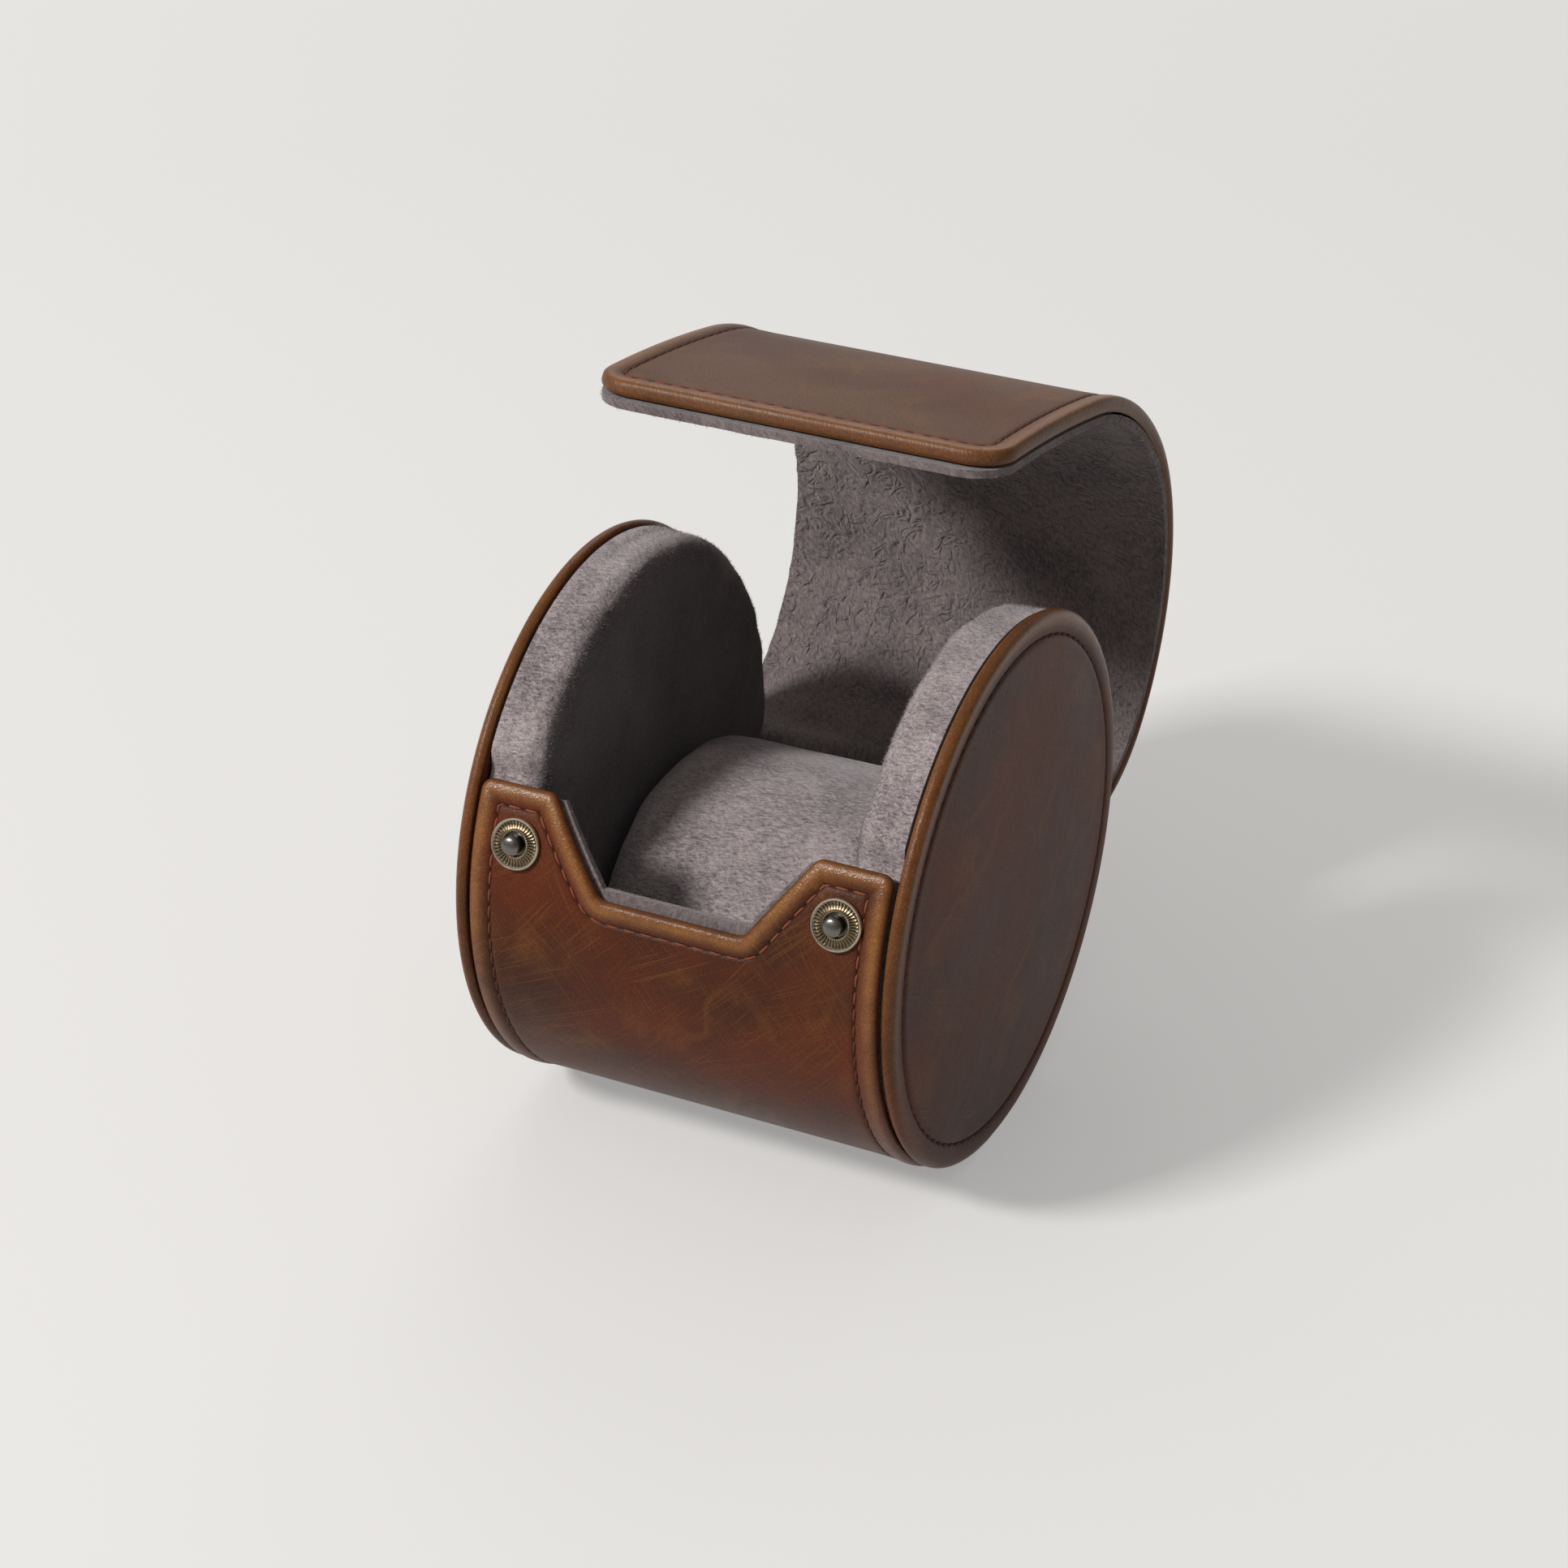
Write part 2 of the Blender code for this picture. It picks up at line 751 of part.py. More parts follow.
def spring_ring(name, matrix, material, group):
    """A split wire ring that lies in the socket's groove."""
    mouth = POST_RADIUS + 0.0002
    radius = mouth + 1.5 * SPRING_WIRE
    height = SOCKET_HEIGHT * 0.53
    split = math.radians(32)
    count = 20
    curve = bpy.data.curves.new(name, "CURVE")
    curve.dimensions = "3D"
    curve.bevel_depth = SPRING_WIRE
    curve.bevel_resolution = 1
    curve.use_fill_caps = True
    spline = curve.splines.new("POLY")
    spline.points.add(count)
    for k, point in enumerate(spline.points):
        angle = split / 2 + (2 * math.pi - split) * k / count
        point.co = (radius * math.cos(angle), radius * math.sin(angle), height, 1.0)
    curve.materials.append(material)
    ring = bpy.data.objects.new(name, curve)
    group.objects.link(ring)
    ring.matrix_world = matrix


def build_studs(wall, route, finishes, shell, cutters):
    """The studs stand in pressed seats in the horns, and rivets come through from behind."""
    seat_floor = SEAT_DEPTH
    head_floor = LEATHER - HEAD_SEAT_DEPTH
    stud_base = seat_floor - FIT
    head_top = head_floor + FIT
    for side, label in ((1, "right"), (-1, "left")):
        across = side * SNAP_ACROSS
        cut = [
            (0.0, LEATHER),
            (FLANGE_RADIUS + FIT, LEATHER),
            (FLANGE_RADIUS + FIT, -seat_floor),
            (RIVET_RADIUS + FIT, -seat_floor),
            (RIVET_RADIUS + FIT, -head_floor),
            (RIVET_HEAD_RADIUS + FIT, -head_floor),
            (RIVET_HEAD_RADIUS + FIT, -LEATHER - PLY_GAP),
            (0.0, -LEATHER - PLY_GAP),
        ]
        surface = route.seat(across, STUD_DROP, 0.0, outward=True)
        hole = turned(label + "_stud_hole", cut, RIVET_STEPS * 2, surface, None, cutters)
        subtract(wall, as_cutter(hole))
        place = route.seat(across, STUD_DROP, stud_base, outward=True)
        fluted_stud(label + "_snap_stud", place, finishes["nickel"], shell)
        pin = head_top - stud_base + POST_HEIGHT * 0.45 - FIT
        place = route.seat(across, STUD_DROP, head_top, outward=True)
        turned(
            label + "_stud_rivet", rivet_profile(pin), RIVET_STEPS, place, finishes["nickel"], shell
        )


def build_sockets(board, lining, route, finishes, shell, cutters):
    """The sockets sit on the lid's lining; their rivet heads lie in the board, under the leather."""
    along = LID_LENGTH - SOCKET_INSET
    face = HEM + PLY_GAP + LINING
    head_top = HEM - FIT / 2
    base = face + FIT
    for side, label in ((1, "right"), (-1, "left")):
        across = side * SNAP_ACROSS
        surface = route.seat(across, along, LEATHER, outward=False)
        cut = [
            (0.0, BOARD_LIFT + PLY_GAP / 2),
            (RIVET_HEAD_RADIUS + FIT, BOARD_LIFT + PLY_GAP / 2),
            (RIVET_HEAD_RADIUS + FIT, 0.0),
            (0.0, 0.0),
        ]
        hole = turned(label + "_board_hole", cut, RIVET_STEPS, surface, None, cutters)
        subtract(board, as_cutter(hole))
        cut = [
            (0.0, base),
            (RIVET_RADIUS + FIT, base),
            (RIVET_RADIUS + FIT, PLY_GAP),
            (0.0, PLY_GAP),
        ]
        hole = turned(label + "_lining_hole", cut, RIVET_STEPS, surface, None, cutters)
        subtract(lining, as_cutter(hole))
        place = route.seat(across, along, base, outward=False)
        turned(
            label + "_snap_socket",
            socket_profile(),
            SOCKET_STEPS,
            place,
            finishes["nickel"],
            shell,
            closed=True,
        )
        spring_ring(label + "_socket_spring", place, finishes["nickel"], shell)
        pin = base - head_top + SOCKET_HEIGHT * 0.34
        place = route.seat(across, along, head_top, outward=False)
        turned(
            label + "_socket_rivet", rivet_profile(pin), RIVET_STEPS, place, finishes["nickel"], shell
        )


def hang_on_hinge(objects, shell):
    """Everything on the lid turns with an empty that stands on the crease."""
    hinge = bpy.data.objects.new("lid_hinge", None)
    hinge.location = (0.0, HINGE.x, HINGE.y)
    shell.objects.link(hinge)
    bpy.context.view_layer.update()
    for obj in objects:
        obj.parent = hinge
        obj.matrix_parent_inverse = hinge.matrix_world.inverted()


def main():
    clear_scene()
    shell = collection("Watch roll")
    cutters = collection("Cutters")
    finishes = {
        "leather": finish("Pull-up leather", (0.115, 0.042, 0.022), 0.42),
        "lining": finish("Suede lining", (0.165, 0.140, 0.145), 0.95),
        "suede": finish("Suede", (0.175, 0.150, 0.155), 0.95),
        "board": finish("Fibre board", (0.250, 0.170, 0.100), 0.90),
        "nickel": finish("Antique nickel", (0.270, 0.240, 0.205), 0.35, 1.0),
    }
    route, length = wall_route()
    leather_edge = round_edge(0.0, LEATHER, 0.0) + stitch_channel()
    wall = wall_ply("wrap_leather", leather_edge, route, length, finishes["leather"], shell)
    lining_edge = round_edge(LEATHER + PLY_GAP, WALL, LINING_SETBACK)
    wall_ply("wrap_lining", lining_edge, route, length, finishes["lining"], shell)
    for side, label in ((1, "right"), (-1, "left")):
        build_end(side, label, finishes, shell, cutters)
    build_cushion(finishes, shell)
    build_studs(wall, route, finishes, shell, cutters)

    before = set(shell.objects)
    route = lid_route()
    hem = [(HEM_WIDTH, LEATHER), (HEM_WIDTH, HEM)] + round_edge(0.0, HEM, 0.0) + stitch_channel()
    lid_ply("lid_leather", hem, -LEATHER / 2, route, finishes["leather"], shell)
    lining_edge = round_edge(HEM + PLY_GAP, HEM + PLY_GAP + LINING, LINING_SETBACK)
    lining = lid_ply("lid_lining", lining_edge, LEATHER / 2, route, finishes["lining"], shell)
    board = lid_board(route, finishes["board"], shell)
    build_sockets(board, lining, route, finishes, shell, cutters)
    hang_on_hinge(set(shell.objects) - before, shell)


if __name__ == "__main__":
    main()
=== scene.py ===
"""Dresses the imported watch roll: a leather drum with suede pads, a cushion and a flap lid that stands open.

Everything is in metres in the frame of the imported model: X along the drum, Y to the back, Z up.
The wall and the lid are one sheet here, drawn flat and then formed. A flat point is (across, along,
height): along starts at the tops of the horns, runs down the front, under the base, up the back, through
the crease and out to the lid's free edge, and height is measured outwards from the leather's outer face.
"""

import json
import math

import bmesh
import bpy
import numpy as np
from mathutils import Matrix, Vector, noise


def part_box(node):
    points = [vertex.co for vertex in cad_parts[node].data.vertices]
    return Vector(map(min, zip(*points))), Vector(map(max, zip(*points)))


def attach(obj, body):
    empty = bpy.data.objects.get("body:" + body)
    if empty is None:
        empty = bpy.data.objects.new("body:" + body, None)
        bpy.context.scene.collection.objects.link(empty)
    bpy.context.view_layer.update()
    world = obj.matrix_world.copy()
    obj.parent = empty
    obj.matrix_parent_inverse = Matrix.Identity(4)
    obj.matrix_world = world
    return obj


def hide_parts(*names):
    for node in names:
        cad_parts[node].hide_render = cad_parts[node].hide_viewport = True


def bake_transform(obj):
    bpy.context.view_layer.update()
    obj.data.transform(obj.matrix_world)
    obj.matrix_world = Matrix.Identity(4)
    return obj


bl_info = {
    "name": "Watch roll dresser",
    "version": (1, 0, 0),
    "blender": (4, 5, 0),
    "location": "View3D > Sidebar > Watch roll",
    "description": "Leather, suede, thread and press studs for a watch roll",
    "category": "Object",
}

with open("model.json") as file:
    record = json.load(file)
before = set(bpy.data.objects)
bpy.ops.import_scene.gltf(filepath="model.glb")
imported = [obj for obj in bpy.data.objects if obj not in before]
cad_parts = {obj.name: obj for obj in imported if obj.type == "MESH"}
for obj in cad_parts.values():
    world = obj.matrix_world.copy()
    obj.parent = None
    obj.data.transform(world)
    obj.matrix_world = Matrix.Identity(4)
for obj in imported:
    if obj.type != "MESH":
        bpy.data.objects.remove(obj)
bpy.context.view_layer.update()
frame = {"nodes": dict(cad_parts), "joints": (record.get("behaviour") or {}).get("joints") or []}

MM = 0.001
COVER_LOW, COVER_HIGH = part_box("right_disc_cover")
PAD_LOW, PAD_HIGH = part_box("right_pad_suede")
CUSHION_LOW, CUSHION_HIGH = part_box("cushion")
DRUM_RADIUS = COVER_HIGH.y
CENTRE = Vector((0.0, COVER_HIGH.z - DRUM_RADIUS))
WALL_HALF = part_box("wrap_leather")[1].x
HINGE = Vector(frame["joints"][0]["pos_m"])
LINING_SEED = 11  # noise_vector is seeded by the clock unless it is told

FIBRE_HALF_WIDTH = 0.035 * MM
FIBRE_LEAN = 0.9
CLOTH_FRAMES = 20
CUTS_ACROSS = 12
CUTS_ALONG = 130
PAD_STEPS = 180
COVER_STEPS = 160
CUSHION_SHARE = 0.965  # of its room, before it is blown up
LENS_MM, SENSOR_MM = 87.1, 36.0
UV_PER_METRE = 4.0
UV_LIFT = 0.7  # how much of a point's height shifts its place on the map, so that edges aren't smeared


# Sizes and colours that a user would change


def length(name, description, default):
    return bpy.props.FloatProperty(
        name=name, description=description, default=default, unit="LENGTH", precision=5
    )


def angle(name, description, degrees):
    return bpy.props.FloatProperty(
        name=name, description=description, default=math.radians(degrees), subtype="ANGLE"
    )


def colour(name, description, default):
    return bpy.props.StringProperty(name=name, description=description, default=default)


class WR_SheetSizes(bpy.types.PropertyGroup):
    """The cut and the route of the sheet that makes the wall and the lid."""

    leather: length("Leather", "Thickness of the leather", 1.6 * MM)
    edge_lid: length("Lid edge", "Thickness of the lid's edge, leather turned over its board", 2.7 * MM)
    lining: length("Lining", "Thickness of the suede lining", 1.3 * MM)
    base_ease: angle("Base ease", "Turn from the flat of the base to the round of the drum", 18)
    horn_edge: angle("Horn tops", "Height of the horns' tops, as an angle up the drum", 30.8)
    notch_floor: angle("Notch floor", "Height of the notch's floor, as an angle up the drum", 12.0)
    notch_top_half: length("Notch top", "Half width of the notch at its mouth", 24.4 * MM)
    notch_floor_half: length("Notch bottom", "Half width of the notch's floor", 13.3 * MM)
    horn_corner: length("Horn corner", "Corner radius of the horns", 2.2 * MM)
    notch_corner: length("Notch corner", "Corner radius in the notch", 2.6 * MM)
    lid_corner: length("Lid corner", "Corner radius of the lid", 7.0 * MM)
    crease_angle: angle("Crease", "Where the lid leaves the drum, as an angle below its middle", 13.3)
    lid_heading: angle("Lid heading", "Direction in which the lid leaves the drum", -8)
    crease_reach: length("Crease reach", "How far from its root the lid bends into the wall", 2.6 * MM)
    bead: length("Bead", "How far the rolled edge stands out of the leather", 0.40 * MM)
    seam_inset: length("Seam inset", "Distance of the stitches from the edge", 4.0 * MM)
    seam_depth: length("Seam depth", "How deep the thread pulls the leather in", 0.28 * MM)
    proud: length("Proud lining", "How far the lining stands out past the leather's edge", 0.9 * MM)
    proud_floor: length("Proud in the notch", "The same at the floor of the notch", 1.7 * MM)
    crinkle: length("Crinkle", "Height of the wrinkles in the lid's lining", 0.55 * MM)


class WR_ThreadSizes(bpy.types.PropertyGroup):
    """Saddle stitches of waxed thread."""

    pitch: length("Pitch", "Distance from one stitch to the next", 3.2 * MM)
    stitch: length("Stitch", "Length of one stitch", 2.5 * MM)
    width: length("Width", "Width of the thread", 0.44 * MM)


class WR_EndSizes(bpy.types.PropertyGroup):
    """The leather end covers and the suede pads behind them."""

    roll: length("Roll", "Radius of the cover's rolled rim", 1.25 * MM)
    seam_inset: length("Seam inset", "Distance of the stitches from the rim", 4.4 * MM)
    seam_depth: length("Seam depth", "How deep the thread pulls the cover in", 0.40 * MM)
    crown: length("Crown", "How far the cover's face swells", 0.8 * MM)
    pad_fit: length("Pad fit", "How much narrower the pad is where the wall holds it", 2.1 * MM)
    pad_round: length("Pad round", "Radius of the pad's inner edge", 2.2 * MM)


class WR_StudSizes(bpy.types.PropertyGroup):
    """Press studs with a fluted flange."""

    inset: length("Inset", "Distance of the studs from the side edge", 8.4 * MM)
    height: angle("Height", "Height of the studs, as an angle up the drum", 19.3)
    flange: length("Flange", "Radius of the flange", 4.6 * MM)
    rise: length("Rise", "Height of the flange's rim", 0.95 * MM)
    post: length("Post", "Radius of the post", 1.72 * MM)
    post_height: length("Post height", "Height of the post", 3.1 * MM)
    flutes: bpy.props.IntProperty(name="Flutes", description="Pressed flutes in a flange", default=38)


class WR_Colours(bpy.types.PropertyGroup):
    """Colours as sRGB hex values."""

    leather_dark: colour("Leather, deep", "Oiled leather in the field", "#3d1d0e")
    leather_mid: colour("Leather, middle", "Oiled leather where it is handled", "#632a11")
    leather_red: colour("Leather, red", "Where the red ground dye shows", "#70331a")
    leather_worn: colour("Leather, worn", "Leather where the wax is stretched or rubbed off", "#95602e")
    leather_bloom_and_sheen: colour("Leather, bloom", "The dull bloom on the wax", "#6d4b35")
    leather_seam: colour("Leather, seam", "Wax and dye gathered in the sewn channel", "#2c140c")
    suede_light: colour("Suede, nap up", "Suede brushed against the light", "#c0b2b1")
    # Painted shade: the lining's two colours are the pads' suede made darker, for the shade inside the lid.
    lining_up_painted_shade: colour("Lining, nap up", "Lining brushed against the light", "#8f827f")
    lining_down_painted_shade: colour("Lining, nap down", "Lining brushed away from the light", "#50464a")
    suede_painted_shade: colour("Suede, pressed", "Suede whose nap lies flat and takes the light in", "#3f3638")
    suede_dark: colour("Suede, nap down", "Suede brushed away from the light", "#574c50")
    thread: colour("Thread", "Waxed thread", "#8a4b35")
    thread_dark: colour("Thread, soiled", "Waxed thread that took up the dye", "#5a2f20")
    nickel: colour("Nickel", "Aged nickel", "#c6b8a2")
    steel: colour("Post", "The post's bare metal", "#75706a")
    nickel_dark: colour("Nickel, tarnish", "Tarnish in the recesses", "#2e2923")
    board: colour("Board", "Fibre board", "#8a7353")
    board_speck: colour("Board, specks", "Dark fibres in the board", "#5f4c36")
    floor: colour("Floor", "The pale floor", "#bcbab7")


SETTINGS = (
    ("sheet", WR_SheetSizes),
    ("thread", WR_ThreadSizes),
    ("ends", WR_EndSizes),
    ("studs", WR_StudSizes),
    ("colours", WR_Colours),
)


def settings(name):
    return getattr(bpy.context.scene, "watch_roll_" + name)


# The route of the sheet, seen from the side


def arc_end(start, heading, distance, turn):
    half = turn / 2
    chord = distance if abs(half) < 1e-9 else distance * math.sin(half) / half
    return start + chord * Vector((math.cos(heading + half), math.sin(heading + half)))


class Route:
    """A chain of arcs in the YZ plane along the leather's outer face, with the lining on its left."""

    def __init__(self, start, heading, arcs):
        self.start = start
        self.heading = heading
        self.arcs = list(arcs)
        self.length = sum(distance for distance, _ in self.arcs)

    def frame(self, along):
        """The point and the heading this far along."""
        start, heading = self.start, self.heading
        for distance, turn in self.arcs:
            if along <= distance:
                part = turn * (along / distance)
                return arc_end(start, heading, along, part), heading + part
            start = arc_end(start, heading, distance, turn)
            heading += turn
            along -= distance
        return start, heading


def smooth(share):
    share = min(max(share, 0.0), 1.0)
    return share * share * (3 - 2 * share)


def smooth_step(shares):
    shares = np.clip(shares, 0.0, 1.0)
    return shares * shares * (3 - 2 * shares)


def wall_arcs(sizes):
    """From the tops of the horns down the front, under the base and up the back."""
    sag = DRUM_RADIUS - CENTRE.y
    ease = sizes.base_ease
    ease_radius = DRUM_RADIUS - sag / (1 - math.cos(ease))
    flat = 2 * (DRUM_RADIUS - ease_radius) * math.sin(ease)
    front = sizes.horn_edge + math.pi / 2 - ease
    back = math.pi / 2 - sizes.crease_angle - ease
    return [
        (DRUM_RADIUS * front, front),
        (ease_radius * ease, ease),
        (flat, 0.0),
        (ease_radius * ease, ease),
        (DRUM_RADIUS * back, back),
    ]


LID_ARCS = (
    (27.0 * MM, math.radians(54)),
    (63.2 * MM, math.radians(83)),
    (39.0 * MM, math.radians(37)),
    (45.8 * MM, math.radians(7.5)),
)


def crease_arc(wall, lid, reach):
    """How much of the wall's end a bend takes away that meets the lid at this reach, and the bend's arc."""
    lid_point, lid_heading = lid.frame(reach)
    lid_way = Vector((math.cos(lid_heading), math.sin(lid_heading)))
    low, high = 0.0, 4 * reach
    for _ in range(40):
        short = (low + high) / 2
        point, heading = wall.frame(wall.length - short)
        way = Vector((math.cos(heading), math.sin(heading)))
        between = lid_point - point
        cross = way.x * lid_way.y - way.y * lid_way.x
        before = (between.x * lid_way.y - between.y * lid_way.x) / cross
        after = (between.x * way.y - between.y * way.x) / cross
        if before < -after:
            low = short
        else:
            high = short
    turn = math.remainder(lid_heading - heading, 2 * math.pi)
    radius = before / math.tan(abs(turn) / 2)
    return short, (radius * abs(turn), turn)


class Sheet:
    """The whole route of wall and lid as a table, so that many points are formed at once."""

    STEP = 0.25 * MM

    def __init__(self):
        sizes = settings("sheet")
        polar = math.pi - sizes.horn_edge
        start = CENTRE + DRUM_RADIUS * Vector((math.cos(polar), math.sin(polar)))
        wall = Route(start, polar + math.pi / 2, wall_arcs(sizes))
        left = Vector((-math.sin(sizes.lid_heading), math.cos(sizes.lid_heading)))
        root = Vector((HINGE.y, HINGE.z)) - sizes.leather / 2 * left
        lid = Route(root, sizes.lid_heading, LID_ARCS)
        short, bend = crease_arc(wall, lid, sizes.crease_reach)
        arcs = wall.arcs[:]
        distance, turn = arcs[-1]
        arcs[-1] = (distance - short, turn * (1 - short / distance))
        first, first_turn = LID_ARCS[0]
        left_over = first - sizes.crease_reach
        arcs += [bend, (left_over, first_turn * left_over / first), *LID_ARCS[1:]]
        self.crease = sum(d for d, _ in arcs[:5]) + bend[0] / 2
        self.route = Route(wall.start, wall.heading, arcs)
        self.length = self.route.length
        count = int(self.length / self.STEP) + 2
        self.stations = np.linspace(0.0, self.length, count)
        frames = [self.route.frame(float(s)) for s in self.stations]
        self.y = np.array([point.x for point, _ in frames])
        self.z = np.array([point.y for point, _ in frames])
        self.heading = np.array([heading for _, heading in frames])

    def formed(self, flat):
        """Flat points, as rows of across, along and height, in the frame of the drum."""
        along = flat[:, 1]
        heading = np.interp(along, self.stations, self.heading)
        beyond = along - np.clip(along, 0.0, self.length)
        y = np.interp(along, self.stations, self.y) + beyond * np.cos(heading)
        z = np.interp(along, self.stations, self.z) + beyond * np.sin(heading)
        y = y + flat[:, 2] * np.sin(heading)
        z = z - flat[:, 2] * np.cos(heading)
        return np.column_stack([flat[:, 0], y, z])

    def seat(self, across, along, height):
        """A matrix whose Z axis leaves the sheet outwards from this flat point."""
        _, heading = self.route.frame(along)
        normal = Vector((0.0, math.sin(heading), -math.cos(heading)))
        side = Vector((1.0, 0.0, 0.0))
        axes = Matrix((side, normal.cross(side), normal)).transposed().to_4x4()
        place = self.formed(np.array([[across, along, height]]))[0]
        return Matrix.Translation(place) @ axes


# Making pieces


def deselect():
    if bpy.context.object and bpy.context.object.mode != "OBJECT":
        bpy.ops.object.mode_set(mode="OBJECT")
    bpy.ops.object.select_all(action="DESELECT")


def take(obj):
    deselect()
    obj.select_set(True)
    bpy.context.view_layer.objects.active = obj
    return obj


def edit(obj):
    take(obj)
    bpy.ops.object.mode_set(mode="EDIT")
    bpy.ops.mesh.select_all(action="DESELECT")
    return bmesh.from_edit_mesh(obj.data)


def object_mode():
    bpy.ops.object.mode_set(mode="OBJECT")


def pick_faces(obj, inside):
    """Selects exactly the faces that this test picks."""
    bpy.ops.mesh.select_mode(type="FACE")
    bpy.ops.mesh.select_all(action="DESELECT")
    bm = bmesh.from_edit_mesh(obj.data)
    for face in bm.faces:
        if inside(face):
            face.select = True
    bm.select_flush_mode()
    return bm


def named(name):
    obj = bpy.context.object
    obj.name = name
    obj.data.name = name
    return obj


def apply_modifiers(obj):
    take(obj)
    for modifier in list(obj.modifiers):
        bpy.ops.object.modifier_apply(modifier=modifier.name)


def coordinates(obj):
    points = np.empty(len(obj.data.vertices) * 3, np.float32)
    obj.data.vertices.foreach_get("co", points)
    return points.reshape(-1, 3).astype(float)


def place_points(obj, points):
    obj.data.vertices.foreach_set("co", np.asarray(points, np.float32).ravel())
    obj.data.update()


def rings(name, loops):
    """A circle primitive drawn to the first loop of points, then extruded and drawn to each next one."""
    deselect()
    bpy.ops.mesh.primitive_circle_add(vertices=len(loops[0]), radius=MM, fill_type="NOTHING")
    obj = named(name)
    bm = edit(obj)
    station = bm.verts.layers.int.new("station")
    bm.verts.ensure_lookup_table()
    for i, vert in enumerate(bm.verts):
        vert[station] = i
        vert.co = loops[0][i]
        vert.select = True
    bm.select_flush(True)
    bmesh.update_edit_mesh(obj.data)
    bpy.ops.mesh.edge_face_add()
    for face in bm.faces:
        face.select = False
    for edge in bm.edges:
        edge.select = True
    for loop in loops[1:]:
        bpy.ops.mesh.extrude_edges_move()
        bm = bmesh.from_edit_mesh(obj.data)
        station = bm.verts.layers.int["station"]
        for vert in bm.verts:
            if vert.select:
                vert.co = loop[vert[station]]
    bpy.ops.mesh.edge_face_add()
    bmesh.update_edit_mesh(obj.data)
    bpy.ops.mesh.select_all(action="SELECT")
    bpy.ops.mesh.normals_make_consistent(inside=False)
    object_mode()
    return obj


def spun(name, profile, steps):
    """A profile of (radius, height) points spun about the Z axis."""
    deselect()
    bpy.ops.mesh.primitive_circle_add(vertices=len(profile), radius=MM, fill_type="NOTHING")
    obj = named(name)
    bm = edit(obj)
    bm.verts.ensure_lookup_table()
    for vert, (radius, height) in zip(bm.verts, profile):
        vert.co = (radius, 0.0, height)
    ends = {bm.verts[0], bm.verts[len(profile) - 1]}
    loose = [edge for edge in bm.edges if set(edge.verts) == ends]
    bmesh.ops.delete(bm, geom=loose, context="EDGES_FACES")
    bmesh.update_edit_mesh(obj.data)
    bpy.ops.mesh.select_all(action="SELECT")
    bpy.ops.mesh.spin(steps=steps, angle=2 * math.pi, center=(0, 0, 0), axis=(0, 0, 1))
    bpy.ops.mesh.select_all(action="SELECT")
    bpy.ops.mesh.remove_doubles(threshold=0.002 * MM)
    bpy.ops.mesh.normals_make_consistent(inside=False)
    object_mode()
    return obj


def seated(obj, matrix):
    """Moves the piece's points, so that its object stays at the origin."""
    obj.data.transform(matrix)
    obj.data.update()
    return obj


def puffed(obj, voxel, pressure, cap):
    """Blows an even copy of the piece up as cloth, no point past the cap, and subdivides it once."""
    take(obj)
    even = obj.modifiers.new("Even", "REMESH")
    even.mode = "VOXEL"
    even.voxel_size = voxel
    apply_modifiers(obj)
    before = coordinates(obj)
    cloth = obj.modifiers.new("Blown up", "CLOTH")
    cloth.settings.use_pressure = True
    cloth.settings.uniform_pressure_force = pressure
    cloth.settings.effector_weights.gravity = 0.0
    for step in range(1, CLOTH_FRAMES + 1):
        bpy.context.scene.frame_set(step)
    apply_modifiers(obj)
    bpy.context.scene.frame_set(1)
    moved = coordinates(obj) - before
    size = np.maximum(np.linalg.norm(moved, axis=1), 1e-9)
    place_points(obj, before + moved * np.minimum(1.0, cap / size)[:, None])
    finer = obj.modifiers.new("Finer", "SUBSURF")
    finer.levels = 1
    apply_modifiers(obj)
    return obj


def uneven(obj, size, height, seed):
    """Moves each point a little along its normal, as a hand-stuffed piece is never true."""
    points = coordinates(obj)
    normals = np.empty(len(points) * 3, np.float32)
    obj.data.vertices.foreach_get("normal", normals)
    shift = Vector((seed, 2.3 * seed, -seed))
    waves = np.array([noise.noise(Vector(point) / size + shift) for point in points])
    place_points(obj, points + normals.reshape(-1, 3) * (waves * height)[:, None])


def nap_points(obj, count, seed, reach, keep):
    """Corners of thin triangles that stand like fibres on the faces that this test keeps."""
    chance = np.random.default_rng(seed)
    faces = [face for face in obj.data.polygons if keep(face.center, face.normal)]
    area = np.array([face.area for face in faces])
    points = coordinates(obj)
    corners = []
    for i in chance.choice(len(faces), count, p=area / area.sum()):
        face = faces[i]
        a, b, c = (points[v] for v in list(face.vertices)[:3])
        u, v = chance.random(2)
        root = a + u * (b - a) + v * (c - b)
        lean = np.array(face.normal) + FIBRE_LEAN * (chance.random(3) * 2 - 1)
        lean /= np.linalg.norm(lean)
        side = np.cross(lean, chance.random(3) * 2 - 1)
        side *= FIBRE_HALF_WIDTH / max(np.linalg.norm(side), 1e-9)
        corners += [root - side, root + side, root + lean * reach * (0.35 + 0.65 * chance.random())]
    return np.array(corners)


def nap(name, corners):
    """A piece of one-faced fibres, which no operator lays out."""
    mesh = bpy.data.meshes.new(name)
    mesh.from_pydata(corners.tolist(), [], np.arange(len(corners)).reshape(-1, 3).tolist())
    obj = bpy.data.objects.new(name, mesh)
    bpy.context.scene.collection.objects.link(obj)
    return obj


def finish(obj, material, body=None, smooth_angle=45):
    take(obj)
    obj.data.materials.clear()
    obj.data.materials.append(material)
    bpy.ops.object.shade_smooth_by_angle(angle=math.radians(smooth_angle))
    if body:
        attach(obj, body)
    return obj


def cut_lines(obj, places, axis, inside):
    """Lines across the faces that this test picks, so that they can bend."""
    normal = Vector((0, 0, 0))
    normal[axis] = 1.0
    for place in places:
        pick_faces(obj, inside)
        bpy.ops.mesh.bisect(plane_co=normal * place, plane_no=normal)


# The cut of the sheet


